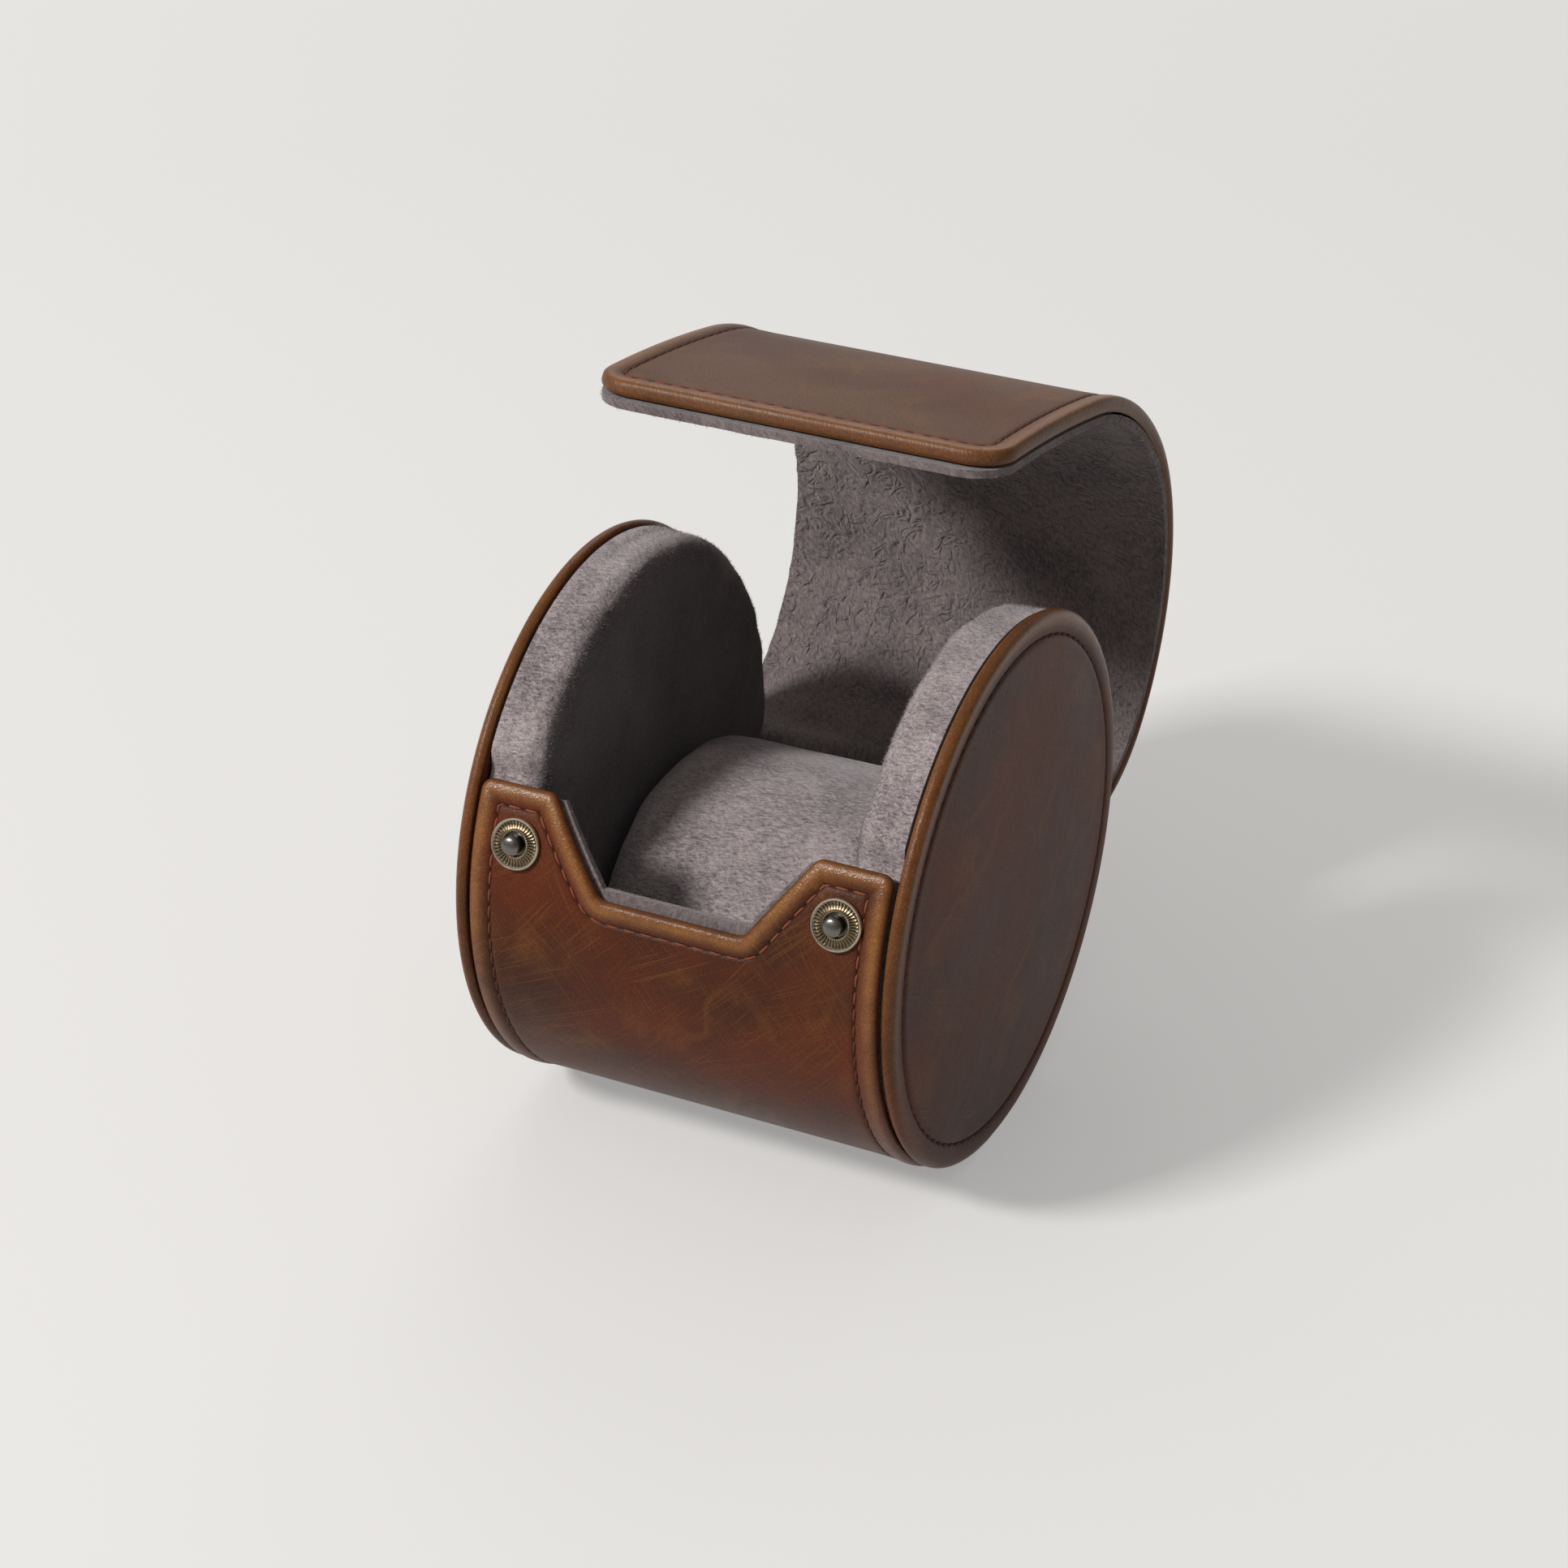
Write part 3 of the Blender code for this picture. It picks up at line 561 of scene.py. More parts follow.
def notch_depth(sizes):
    return DRUM_RADIUS * (sizes.horn_edge - sizes.notch_floor)


def wall_and_lid_corners(sheet, sizes):
    half = WALL_HALF
    drop = notch_depth(sizes)
    top, bottom = sizes.notch_top_half, sizes.notch_floor_half
    return (
        (half, 0.0, sizes.horn_corner),
        (half, sheet.length, sizes.lid_corner),
        (-half, sheet.length, sizes.lid_corner),
        (-half, 0.0, sizes.horn_corner),
        (-top, 0.0, sizes.horn_corner),
        (-bottom, drop, sizes.notch_corner),
        (bottom, drop, sizes.notch_corner),
        (top, 0.0, sizes.horn_corner),
    )


def outline(corners, inset, step, corner_points=7):
    """The cut's outline this far inside its edge, counter-clockwise; every inset has as many points."""
    arcs = []
    for i, (x, y, radius) in enumerate(corners):
        here = Vector((x, y))
        before = Vector(corners[i - 1][:2])
        after = Vector(corners[(i + 1) % len(corners)][:2])
        come = (here - before).normalized()
        leave = (after - here).normalized()
        come_in = Vector((-come.y, come.x))
        leave_in = Vector((-leave.y, leave.x))
        corner = here + inset * (come_in + leave_in) / (1 + come_in.dot(leave_in))
        turn = math.atan2(come.x * leave.y - come.y * leave.x, come.dot(leave))
        side = 1 if turn > 0 else -1
        bend = max(radius - side * inset, 0.5 * MM)
        start = corner - come * bend * math.tan(abs(turn) / 2)
        middle = start + side * bend * come_in
        spoke = start - middle
        turns = [turn * k / (corner_points - 1) for k in range(corner_points)]
        arcs.append([middle + Matrix.Rotation(t, 2) @ spoke for t in turns])
    points = []
    for i, arc in enumerate(arcs):
        points += arc
        reach = Vector(corners[(i + 1) % len(corners)][:2]) - Vector(corners[i][:2])
        count = max(2, round(reach.length / step))
        goal = arcs[(i + 1) % len(arcs)][0]
        points += [arc[-1].lerp(goal, k / count) for k in range(1, count)]
    return points


def edge_thickness(sheet, sizes, along):
    """The wall's edge is one leather; past the crease it is turned over the lid's board."""
    share = smooth((along - sheet.crease - 4 * MM) / (8 * MM))
    return sizes.leather + (sizes.edge_lid - sizes.leather) * share


def bead_section(sizes):
    """The edge from its turned-in end, round the fat rolled bead and down into the sewn channel."""
    return (
        # share of the seam's inset, share of the edge's thickness, share of the bead
        (0.42, -1.0, 0.0),
        (0.14, -0.90, 0.0),
        (0.02, -0.68, 0.0),
        (0.0, -0.42, 0.0),
        (0.03, -0.20, 0.05),
        (0.09, -0.05, 0.35),
        (0.17, 0.0, 0.66),
        (0.28, 0.0, 0.90),
        (0.42, 0.0, 1.0),
        (0.58, 0.0, 0.90),
        (0.74, 0.0, 0.62),
        (0.86, 0.0, 0.28),
        (0.94, 0.0, -0.15),
        (1.0, 0.0, -sizes.seam_depth / sizes.bead),
        (1.06, 0.0, -0.15),
        (1.15, 0.0, 0.12),
        (1.32, 0.0, 0.18),
        (1.60, 0.0, 0.10),
        (2.0, 0.0, 0.0),
    )


def uv_from_flat(obj, points):
    """Keeps the flat pattern as the piece's UV map."""
    layer = obj.data.uv_layers.new(name="Flat")
    loops = np.empty(len(obj.data.loops), np.int32)
    obj.data.loops.foreach_get("vertex_index", loops)
    flat = points[loops]
    lift = flat[:, 2:3] * UV_LIFT if flat.shape[1] > 2 else 0.0
    layer.data.foreach_set("uv", ((flat[:, :2] + lift) * UV_PER_METRE + 0.5).astype(np.float32).ravel())


def paint(obj, name, values):
    attribute = obj.data.attributes.new(name, "FLOAT", "POINT")
    attribute.data.foreach_set("value", np.asarray(values, np.float32))


def outline_distance(points, loop):
    """Each point's distance from a closed outline."""
    a = np.array([tuple(p) for p in loop])
    b = np.roll(a, -1, axis=0)
    along = b - a
    size = (along**2).sum(1)
    best = np.full(len(points), 1e9)
    for start, way, square in zip(a, along, size):
        share = np.clip(((points - start) @ way) / max(square, 1e-18), 0, 1)
        best = np.minimum(best, np.hypot(*(points - start - share[:, None] * way).T))
    return best


def make_sheet_leather(sheet, sizes):
    corners = wall_and_lid_corners(sheet, sizes)
    step = 2.2 * MM
    loops = []
    for share, below, above in bead_section(sizes):
        ring = []
        for p in outline(corners, share * sizes.seam_inset, step):
            height = below * edge_thickness(sheet, sizes, p.y) + above * sizes.bead
            ring.append((p.x, p.y, height))
        loops.append(ring)
    obj = rings("roll_leather", loops)
    edit(obj)
    across = [WALL_HALF * k / CUTS_ACROSS for k in range(1 - CUTS_ACROSS, CUTS_ACROSS)]
    along = [sheet.length * k / CUTS_ALONG for k in range(1, CUTS_ALONG)]

    def broad(face):
        return abs(face.normal.z) > 0.999 and face.calc_area() > (1.2 * MM) ** 2

    cut_lines(obj, along, 1, broad)
    cut_lines(obj, across, 0, broad)
    object_mode()
    points = coordinates(obj)
    low = points[:, 2] < -0.9 * sizes.leather
    inner = outline_distance(points[:, :2], outline(corners, 0.0, 6 * MM))
    points[low & (inner > 1.2 * MM), 2] = -sizes.leather
    worn = np.exp(-(((inner - 1.4 * MM) / (1.15 * MM)) ** 2)) * handled(points, sheet, sizes)
    uv_from_flat(obj, points)
    paint(obj, "edge_wear_and_painted_light", worn)
    # Painted sheen, with the wax's dull film: the lid's top is painted greyer, as a sheen of reflected light
    # lies there.
    paint(obj, "bloom_and_sheen", 0.1 + 0.8 * smooth_step((points[:, 1] - sheet.crease - 20 * MM) / (60 * MM)))
    paint(obj, "seam", np.exp(-(((inner - sizes.seam_inset) / (0.45 * MM)) ** 2)))
    place_points(obj, sheet.formed(points))
    return obj


def handled(points, sheet, sizes):
    """How much hands have rubbed the edge here: most on the horns and the notch, then on the lid's rim."""
    along = points[:, 1]
    drop = notch_depth(sizes)
    front = np.clip(1.25 - along / (3.2 * drop), 0.0, 1.0)
    lid = np.clip((along - sheet.crease) / (60 * MM), 0.0, 1.0)
    return np.clip(0.30 + 0.70 * front + 0.50 * lid, 0.0, 1.0)


def make_lining(sheet, sizes):
    """A grid cut to the sheet's outline, crinkled inside the lid and thickened."""
    proud = sizes.proud
    half = WALL_HALF - 0.3 * MM
    reach = sheet.length + proud
    floor = sizes.proud_floor
    start = 1.0 * MM
    deselect()
    bpy.ops.mesh.primitive_grid_add(x_subdivisions=66, y_subdivisions=270, size=1.0)
    obj = named("roll_lining")
    points = coordinates(obj)
    points[:, 0] *= 2 * half
    points[:, 1] = start + (points[:, 1] + 0.5) * (reach - start)
    place_points(obj, points)
    drop = notch_depth(sizes)
    top, bottom = sizes.notch_top_half, sizes.notch_floor_half
    slope = Vector((drop, top - bottom, 0.0)).normalized()
    edit(obj)
    for side in (1, -1):
        pick_faces(obj, lambda face: face.calc_center_median().y < drop + 3 * MM)
        bpy.ops.mesh.bisect(
            plane_co=(side * (bottom - proud), drop, 0.0),
            plane_no=(slope.x * side, slope.y, 0.0),
        )
    pick_faces(obj, lambda face: abs(face.calc_center_median().x) < bottom + 2 * MM)
    bpy.ops.mesh.bisect(plane_co=(0.0, drop - floor, 0.0), plane_no=(0, 1, 0))
    bm = bmesh.from_edit_mesh(obj.data)
    gone = []
    for face in bm.faces:
        middle = face.calc_center_median()
        reach_in = (middle.y - drop) * slope.y + (abs(middle.x) - bottom + proud) * slope.x
        if middle.y < drop - floor and reach_in < 0:
            gone.append(face)
    bmesh.ops.delete(bm, geom=gone, context="FACES")
    bmesh.update_edit_mesh(obj.data)
    object_mode()
    points = coordinates(obj)
    corner = sizes.lid_corner + proud
    for point in points:
        u = (abs(point[0]) - half + corner) / corner
        v = (point[1] - reach + corner) / corner
        if u > 0 and v > 0:
            point[0] = math.copysign(half - corner + corner * u * math.sqrt(1 - v * v / 2), point[0])
            point[1] = reach - corner + corner * v * math.sqrt(1 - u * u / 2)
    place_points(obj, points)
    cut = (2 * half, reach - start, sum(face.area for face in obj.data.polygons))
    solid = obj.modifiers.new("Thickness", "SOLIDIFY")
    solid.thickness = sizes.lining
    solid.offset = -1.0
    apply_modifiers(obj)
    points = coordinates(obj)
    under = np.array([edge_thickness(sheet, sizes, y) for y in points[:, 1]])
    inner_side = points[:, 2] < -0.5 * sizes.lining
    points[:, 2] -= under + 0.15 * MM
    noise.seed_set(LINING_SEED)
    crinkled = np.array([crinkle(Vector(p), sheet) for p in points])
    points[inner_side, 2] -= crinkled[inner_side] * sizes.crinkle
    uv_from_flat(obj, points)
    paint(obj, "crinkle", crinkled)
    place_points(obj, points)
    edge = WALL_HALF - 2.2 * MM

    def near_edge(middle, normal):
        if abs(normal.z) < 0.6:
            return True
        if normal.z >= 0:
            return False
        return abs(middle.x) > edge or middle.y > sheet.length - 2.2 * MM or middle.y < drop

    corners = nap_points(obj, count=14000, seed=5, reach=0.75 * MM, keep=near_edge)
    fibres = nap("roll_lining_nap", corners)
    uv_from_flat(fibres, corners)
    place_points(fibres, sheet.formed(corners))
    place_points(obj, sheet.formed(points))
    return obj, fibres, cut


def crinkle(point, sheet):
    """Low folds, as in suede that was glued over a curve; strongest where the lid bends most."""
    flat = Vector((point.x, point.y, 0.0))
    bent = flat + 2.2 * MM * noise.noise_vector(flat / (5 * MM))
    fold = 1 - min(1.0, 3 * abs(noise.noise(bent / (6 * MM))))
    place = smooth((point.y - sheet.crease - 6 * MM) / (20 * MM))
    place *= 0.25 + 0.75 * smooth((sheet.length - 36 * MM - point.y) / (30 * MM))
    return (0.35 + 0.65 * fold) * place


# Stitches


def stitch_row(name, path, sizes):
    """One stitch, arrayed along a closed flat path; both modifiers are applied."""
    deselect()
    bpy.ops.mesh.primitive_uv_sphere_add(segments=8, ring_count=6, radius=0.5)
    obj = named(name)
    bm = edit(obj)
    bmesh.ops.rotate(bm, verts=bm.verts, cent=(0, 0, 0), matrix=Matrix.Rotation(math.pi / 2, 3, "Y"))
    for vert in bm.verts:
        x, y, z = vert.co
        body = math.copysign(abs(2 * x) ** 0.7, x) / 2
        vert.co = (
            body * sizes.stitch,
            y * sizes.width + 0.10 * sizes.width * math.copysign(abs(2 * x), x),
            z * sizes.width * 0.8 - (2 * x) ** 2 * 0.24 * MM,
        )
    bmesh.update_edit_mesh(obj.data)
    object_mode()
    curve = bpy.data.curves.new(name + "_path", "CURVE")
    curve.dimensions = "2D"
    spline = curve.splines.new("POLY")
    spline.points.add(len(path) - 1)
    for point, place in zip(spline.points, path):
        point.co = (place[0], place[1], 0.0, 1.0)
    spline.use_cyclic_u = True
    guide = bpy.data.objects.new(name + "_path", curve)
    bpy.context.scene.collection.objects.link(guide)
    total = spline.calc_length()
    count = round(total / sizes.pitch)
    row = obj.modifiers.new("Row", "ARRAY")
    row.count = count
    row.use_relative_offset = False
    row.use_constant_offset = True
    row.constant_offset_displace = (total / count, 0.0, 0.0)
    follow = obj.modifiers.new("Follow", "CURVE")
    follow.object = guide
    apply_modifiers(obj)
    bpy.data.objects.remove(guide)
    return obj


def make_sheet_stitches(sheet, sizes, thread):
    corners = wall_and_lid_corners(sheet, sizes)
    path = outline(corners, sizes.seam_inset, 2.0 * MM)
    obj = stitch_row("roll_stitches", path, thread)
    points = coordinates(obj)
    points[:, 2] -= 0.02 * MM
    # Painted light: stitches at the front and the lid's free edge are painted light as if lit, the rest dark
    # as shade.
    front = smooth_step(1.6 - points[:, 1] / (22 * MM))
    lid_end = smooth_step((points[:, 1] - sheet.length + 12 * MM) / (6 * MM))
    paint(obj, "stitch_painted_light", np.maximum(front, lid_end))
    uv_from_flat(obj, points)
    place_points(obj, sheet.formed(points))
    return obj


# Ends


def end_matrix(side):
    """Z runs outwards along the drum from its middle, on the right (1) or the left (-1)."""
    return Matrix.Translation((0.0, CENTRE.x, CENTRE.y)) @ Matrix.Rotation(side * math.pi / 2, 4, "Y")


def rest_on_floor(obj):
    points = coordinates(obj)
    points[:, 2] = np.maximum(points[:, 2], 0.0)
    place_points(obj, points)


def cover_profile(ends):
    """From the middle of the face, over the sewn channel and the rolled rim, to the back.

    The channel's offsets are in mm, its depths are shares of the seam's depth, and its rises are in mm.
    """
    inner = COVER_LOW.x
    roll = ends.roll
    face = inner + 2 * roll
    seam = DRUM_RADIUS - ends.seam_inset
    profile = []
    for share in (0.0, 0.15, 0.3, 0.45, 0.6, 0.72, 0.82, 0.9, 0.96):
        profile.append((seam * share, face + ends.crown * (1 - share**4)))
    channel = (
        (-1.2, 0.14),
        (-0.6, 0.02),
        (-0.25, -0.5),
        (0.0, -1.0),
        (0.25, -0.5),
        (0.6, -0.05),
        (1.3, 0.06),
    )
    for offset, height in channel:
        scale = ends.seam_depth if height < 0 else MM
        profile.append((seam + offset * MM, face + height * scale))
    for k in range(13):
        turn = math.pi / 2 - math.pi * k / 12
        swell = 0.15 * MM * math.sin(turn) if turn > 0 else 0.0
        radius = DRUM_RADIUS - 1.25 * roll + 1.25 * roll * math.cos(turn)
        profile.append((radius, inner + roll + roll * math.sin(turn) + swell))
    hollow = inner + 1.5 * MM
    return profile + [(DRUM_RADIUS - 3.6 * MM, inner), (DRUM_RADIUS - 4.2 * MM, hollow), (0.0, hollow)]


def make_cover(side, label, ends):
    profile = cover_profile(ends)
    obj = spun(label + "_cover", profile, COVER_STEPS)
    points = coordinates(obj)
    radius = np.hypot(points[:, 0], points[:, 1])
    turn = np.arctan2(points[:, 1], points[:, 0])
    steps = np.hypot(*np.diff(np.array(profile), axis=0).T)
    travelled = np.concatenate([[0.0], np.cumsum(steps)])
    nearest = np.argmin(
        [np.hypot(radius - r, points[:, 2] - height) for r, height in profile], axis=0
    )
    reach = travelled[nearest]
    uv_from_flat(obj, np.column_stack([reach * np.cos(turn), reach * np.sin(turn)]))
    rim = DRUM_RADIUS - 0.8 * ends.roll
    wear_and_painted_light = np.exp(-(((radius - rim) / (1.2 * MM)) ** 2)) * (points[:, 2] > COVER_LOW.x + 0.2 * MM)
    seated(obj, end_matrix(side))
    rest_on_floor(obj)
    points = coordinates(obj)
    # Rubbing on the rolled rim, with painted light: the rim is painted lighter towards the top, where the
    # light falls.
    height = np.clip((points[:, 2] - 0.4 * DRUM_RADIUS) / (1.2 * DRUM_RADIUS), 0.0, 1.0)
    paint(obj, "edge_wear_and_painted_light", wear_and_painted_light * (0.22 + 0.62 * height))
    # Painted sheen, with the wax's dull film: each cover's middle is painted greyer, as a sheen lies there.
    paint(obj, "bloom_and_sheen", 0.05 + 0.22 * np.clip(1.15 - radius / DRUM_RADIUS, 0.0, 1.0))
    paint(obj, "seam", np.exp(-(((radius - DRUM_RADIUS + ends.seam_inset) / (0.42 * MM)) ** 2)))
    return obj


def full_turn(steps):
    return [2 * math.pi * k / steps for k in range(steps)]


def make_cover_stitches(side, label, ends, thread):
    radius = DRUM_RADIUS - ends.seam_inset
    path = [(radius * math.cos(turn), radius * math.sin(turn)) for turn in full_turn(180)]
    obj = stitch_row(label + "_cover_stitches", path, thread)
    matrix = end_matrix(side) @ Matrix.Translation((0, 0, COVER_LOW.x + 2 * ends.roll - 0.16 * MM))
    return seated(obj, matrix)


def pad_reach(turn, ends, sizes):
    """The pad's radius at this angle from the back, over the top: narrower where the wall holds it."""
    clear = 1.0 * MM / DRUM_RADIUS
    start = clear - sizes.crease_angle
    end = math.pi - sizes.horn_edge - clear
    ramp = math.radians(5)
    turn = (turn + math.pi / 2) % (2 * math.pi) - math.pi / 2
    swell = smooth((turn - start) / ramp) * smooth((end - turn) / ramp)
    return PAD_HIGH.y - ends.pad_fit * (1 - swell)


def make_pad(side, label, ends, sizes):
    inner, outer = PAD_LOW.x, PAD_HIGH.x
    crown = 0.4 * MM
    bend = ends.pad_round
    section = [(0.0, outer + (inner + bend - outer) * k / 5) for k in range(5)]
    for k in range(6):
        turn = math.pi / 2 * k / 5
        section.append((bend * (1 - math.cos(turn)), inner + crown + bend * (1 - math.sin(turn))))

    def ring(inset, share, height):
        out = []
        for turn in full_turn(PAD_STEPS):
            radius = (pad_reach(turn, ends, sizes) - inset) * share
            y = CENTRE.x + radius * math.cos(turn)
            z = max(CENTRE.y + radius * math.sin(turn), PAD_LOW.z + inset)
            out.append((side * height, y, z))
        return out

    loops = [ring(0.0, share, outer) for share in (0.3, 0.7)]
    loops += [ring(inset, 1.0, height) for inset, height in section]
    for share in (0.9, 0.75, 0.6, 0.45, 0.3, 0.15):
        loops.append(ring(bend, share, inner + crown * share * share))
    obj = puffed(rings(label + "_pad", loops), voxel=2.1 * MM, pressure=3.0, cap=0.6 * MM)
    uneven(obj, size=9 * MM, height=0.30 * MM, seed=side * 3.1)
    uneven(obj, size=2.6 * MM, height=0.10 * MM, seed=side * 5.7)
    fitted_pad(obj, side, ends, sizes)
    out = side * coordinates(obj)[:, 0]
    # Painted shade: the pads' inner faces, turned to each other across the cushion, are painted dark as
    # shade.
    paint(obj, "pressed", smooth_step((inner + 1.8 * MM - out) / (1.6 * MM)))
    return obj


def fitted_pad(obj, side, ends, sizes):
    """Holds the pad's points over its core, against the cover, and clear of the lining and the floor."""
    points = coordinates(obj)
    out = side * points[:, 0]
    y, z = points[:, 1] - CENTRE.x, points[:, 2] - CENTRE.y
    radius, turn = np.hypot(y, z), np.arctan2(z, y)
    limit = np.array([pad_reach(t, ends, sizes) for t in turn])
    back = (out > PAD_HIGH.x - 2.2 * MM) & (radius > limit - 3.0 * MM)
    out[back & (out > PAD_HIGH.x - 1.2 * MM)] = PAD_HIGH.x
    side_wall = (out > PAD_LOW.x + 1.2 * ends.pad_round) & (radius > limit - 2.2 * MM)
    least = np.where(back, limit, np.where(side_wall, limit - 0.4 * MM, 0.0))
    wanted = np.clip(radius, least, limit)
    scale = wanted / np.maximum(radius, 1e-9)
    points[:, 0] = side * np.clip(out, PAD_LOW.x - 0.5 * MM, PAD_HIGH.x)
    points[:, 1] = CENTRE.x + y * scale
    points[:, 2] = np.maximum(CENTRE.y + z * scale, PAD_LOW.z)
    place_points(obj, points)


def make_cushion():
    low, high = CUSHION_LOW, CUSHION_HIGH
    half = (high - low) / 2
    middle = (high + low) / 2
    deselect()
    bpy.ops.mesh.primitive_cylinder_add(vertices=96, radius=1.0, depth=2.0, rotation=(0, math.pi / 2, 0))
    obj = named("cushion_pillow")
    bpy.ops.object.transform_apply(location=False, rotation=True, scale=False)
    edit(obj)
    pick_faces(obj, lambda face: abs(face.normal.x) > 0.9)
    for thickness in (0.12, 0.2, 0.25, 0.25):
        bpy.ops.mesh.inset(thickness=thickness)
    object_mode()
    points = coordinates(obj)
    out = np.hypot(points[:, 1], points[:, 2])
    points[:, 0] *= 1 - 0.12 * out**3
    place_points(obj, points)
    round_edge = obj.modifiers.new("Round", "BEVEL")
    round_edge.width = 0.16
    round_edge.segments = 5
    round_edge.limit_method = "ANGLE"
    apply_modifiers(obj)
    place_points(obj, coordinates(obj) * np.array(half) * CUSHION_SHARE + np.array(middle))
    puffed(obj, voxel=4 * MM, pressure=4.0, cap=2.2 * MM)
    uneven(obj, size=14 * MM, height=0.5 * MM, seed=1.7)
    points = coordinates(obj)
    place_points(obj, np.clip(points, np.array(low) - 0.6 * MM, np.array(high) + 0.6 * MM))
    return obj


# Press studs


def stud_profile(studs):
    """A dome on a waisted post, the dark well round it, the fluted dish and the rolled double rim."""
    flange, rise, post, tall = studs.flange, studs.rise, studs.post, studs.post_height
    return [
        (0.0, tall),
        (post * 0.35, tall * 0.99),
        (post * 0.66, tall * 0.96),
        (post * 0.86, tall * 0.90),
        (post * 0.98, tall * 0.81),
        (post * 1.0, tall * 0.72),
        (post * 0.94, tall * 0.60),
        (post * 0.86, tall * 0.48),
        (post * 0.84, tall * 0.30),
        (post * 0.90, rise * 0.30),
        (flange * 0.43, rise * 0.28),
        (flange * 0.455, rise * 0.62),
        (flange * 0.475, rise * 0.98),
        (flange * 0.50, rise * 1.08),
        (flange * 0.535, rise * 1.04),
        (flange * 0.57, rise * 0.95),
        (flange * 0.65, rise * 0.90),
        (flange * 0.71, rise * 0.82),
        (flange * 0.77, rise * 0.80),
        (flange * 0.82, rise * 0.84),
        (flange * 0.855, rise * 0.76),
        (flange * 0.88, rise * 0.84),
        (flange * 0.91, rise * 1.0),
        (flange * 0.95, rise * 1.02),
        (flange * 0.985, rise * 0.84),
        (flange * 1.0, rise * 0.55),
        (flange * 0.98, rise * 0.20),
        (flange * 0.94, 0.0),
        (0.0, 0.0),
    ]


def make_stud(side, label, sheet, sizes, studs):
    """The dish is pressed in where the flutes are; the plating is dark there and in the grooves."""
    obj = spun(label + "_stud", stud_profile(studs), 4 * studs.flutes)
    points = coordinates(obj)
    radius = np.hypot(points[:, 0], points[:, 1])
    turn = np.arctan2(points[:, 1], points[:, 0])
    share = radius / studs.flange
    band = smooth_step((share - 0.51) / 0.05) * smooth_step((0.86 - share) / 0.04)
    band *= points[:, 2] > 0.3 * studs.rise
    slot = band * (0.5 - 0.5 * np.cos(studs.flutes * turn))
    well = smooth_step((0.48 - share) / 0.05) * (points[:, 2] < 1.3 * studs.rise)
    groove = np.exp(-(((share - 0.857) / 0.015) ** 2)) * 0.8
    points[:, 2] -= slot * 0.42 * MM
    place_points(obj, points)
    paint(obj, "recess", np.clip(slot + well + groove, 0, 1))
    paint(obj, "post", share < 0.40)
    drop = DRUM_RADIUS * (sizes.horn_edge - studs.height)
    across = side * (WALL_HALF - studs.inset)
    return seated(obj, sheet.seat(across, drop, -0.15 * MM))


# Materials


def linear(hex_colour):
    """The sRGB hex value as linear RGBA."""
    digits = hex_colour.lstrip("#")
    out = []
    for i in (0, 2, 4):
        value = int(digits[i : i + 2], 16) / 255
        out.append(value / 12.92 if value <= 0.04045 else ((value + 0.055) / 1.055) ** 2.4)
    return (*out, 1.0)


def plug(tree, socket, value):
    """Sets a socket, or links it where the value is another node's output."""
    if isinstance(value, bpy.types.NodeSocket):
        tree.links.new(value, socket)
    else:
        socket.default_value = value


def add_node(tree, kind, sockets=None, **choices):
    """Adds a node with these choices, and sets or links its sockets."""
    made = tree.nodes.new("ShaderNode" + kind)
    for name, value in choices.items():
        setattr(made, name, value)
    for name, value in (sockets or {}).items():
        plug(tree, made.inputs[name], value)
    return made


def new_material(name):
    material = bpy.data.materials.new(name)
    material.use_nodes = True
    tree = material.node_tree
    tree.nodes.clear()
    return material, tree


def surface(tree, base, roughness, normal, others):
    sockets = {"Base Color": base, "Roughness": roughness, "Normal": normal, **others}
    shader = add_node(tree, "BsdfPrincipled", sockets)
    add_node(tree, "OutputMaterial", {"Surface": shader.outputs["BSDF"]})


def over(tree, base, share, hex_colour):
    """The base with this colour laid over a share of it."""
    made = add_node(tree, "Mix", data_type="RGBA")
    for index, value in ((0, share), (6, base), (7, linear(hex_colour))):
        plug(tree, made.inputs[index], value)
    return made.outputs[2]


def ranged(tree, value, low, high, to_low=0.0, to_high=1.0, kind="LINEAR"):
    sockets = {"Value": value, "From Min": low, "From Max": high, "To Min": to_low, "To Max": to_high}
    return add_node(tree, "MapRange", sockets, interpolation_type=kind).outputs["Result"]


def ramped(tree, value, low, high):
    return ranged(tree, value, low, high, kind="SMOOTHSTEP")


def maths(tree, operation, a, b=0.0):
    return add_node(tree, "Math", {0: a, 1: b}, operation=operation).outputs[0]


def times(tree, a, b):
    return maths(tree, "MULTIPLY", a, b)


def plus(tree, a, b):
    return maths(tree, "ADD", a, b)


def minus(tree, a, b):
    return maths(tree, "SUBTRACT", a, b)


def highest(tree, values):
    out = values[0]
    for value in values[1:]:
        out = maths(tree, "MAXIMUM", out, value)
    return out


def ridged(tree, clouds):
    """How far the clouds are from their middle value, so nothing along winding lines."""
    return maths(tree, "ABSOLUTE", minus(tree, clouds, 0.5))


def painted(tree, name):
    """The value that was painted on the piece under this name."""
    return add_node(tree, "Attribute", attribute_name=name).outputs["Fac"]


def bumped(tree, height, strength, depth_mm, under=None):
    """Relief of this depth, on top of another's if there is one."""
    sockets = {"Height": height, "Strength": strength, "Distance": depth_mm * MM}
    if under:
        sockets["Normal"] = under
    return add_node(tree, "Bump", sockets).outputs["Normal"]


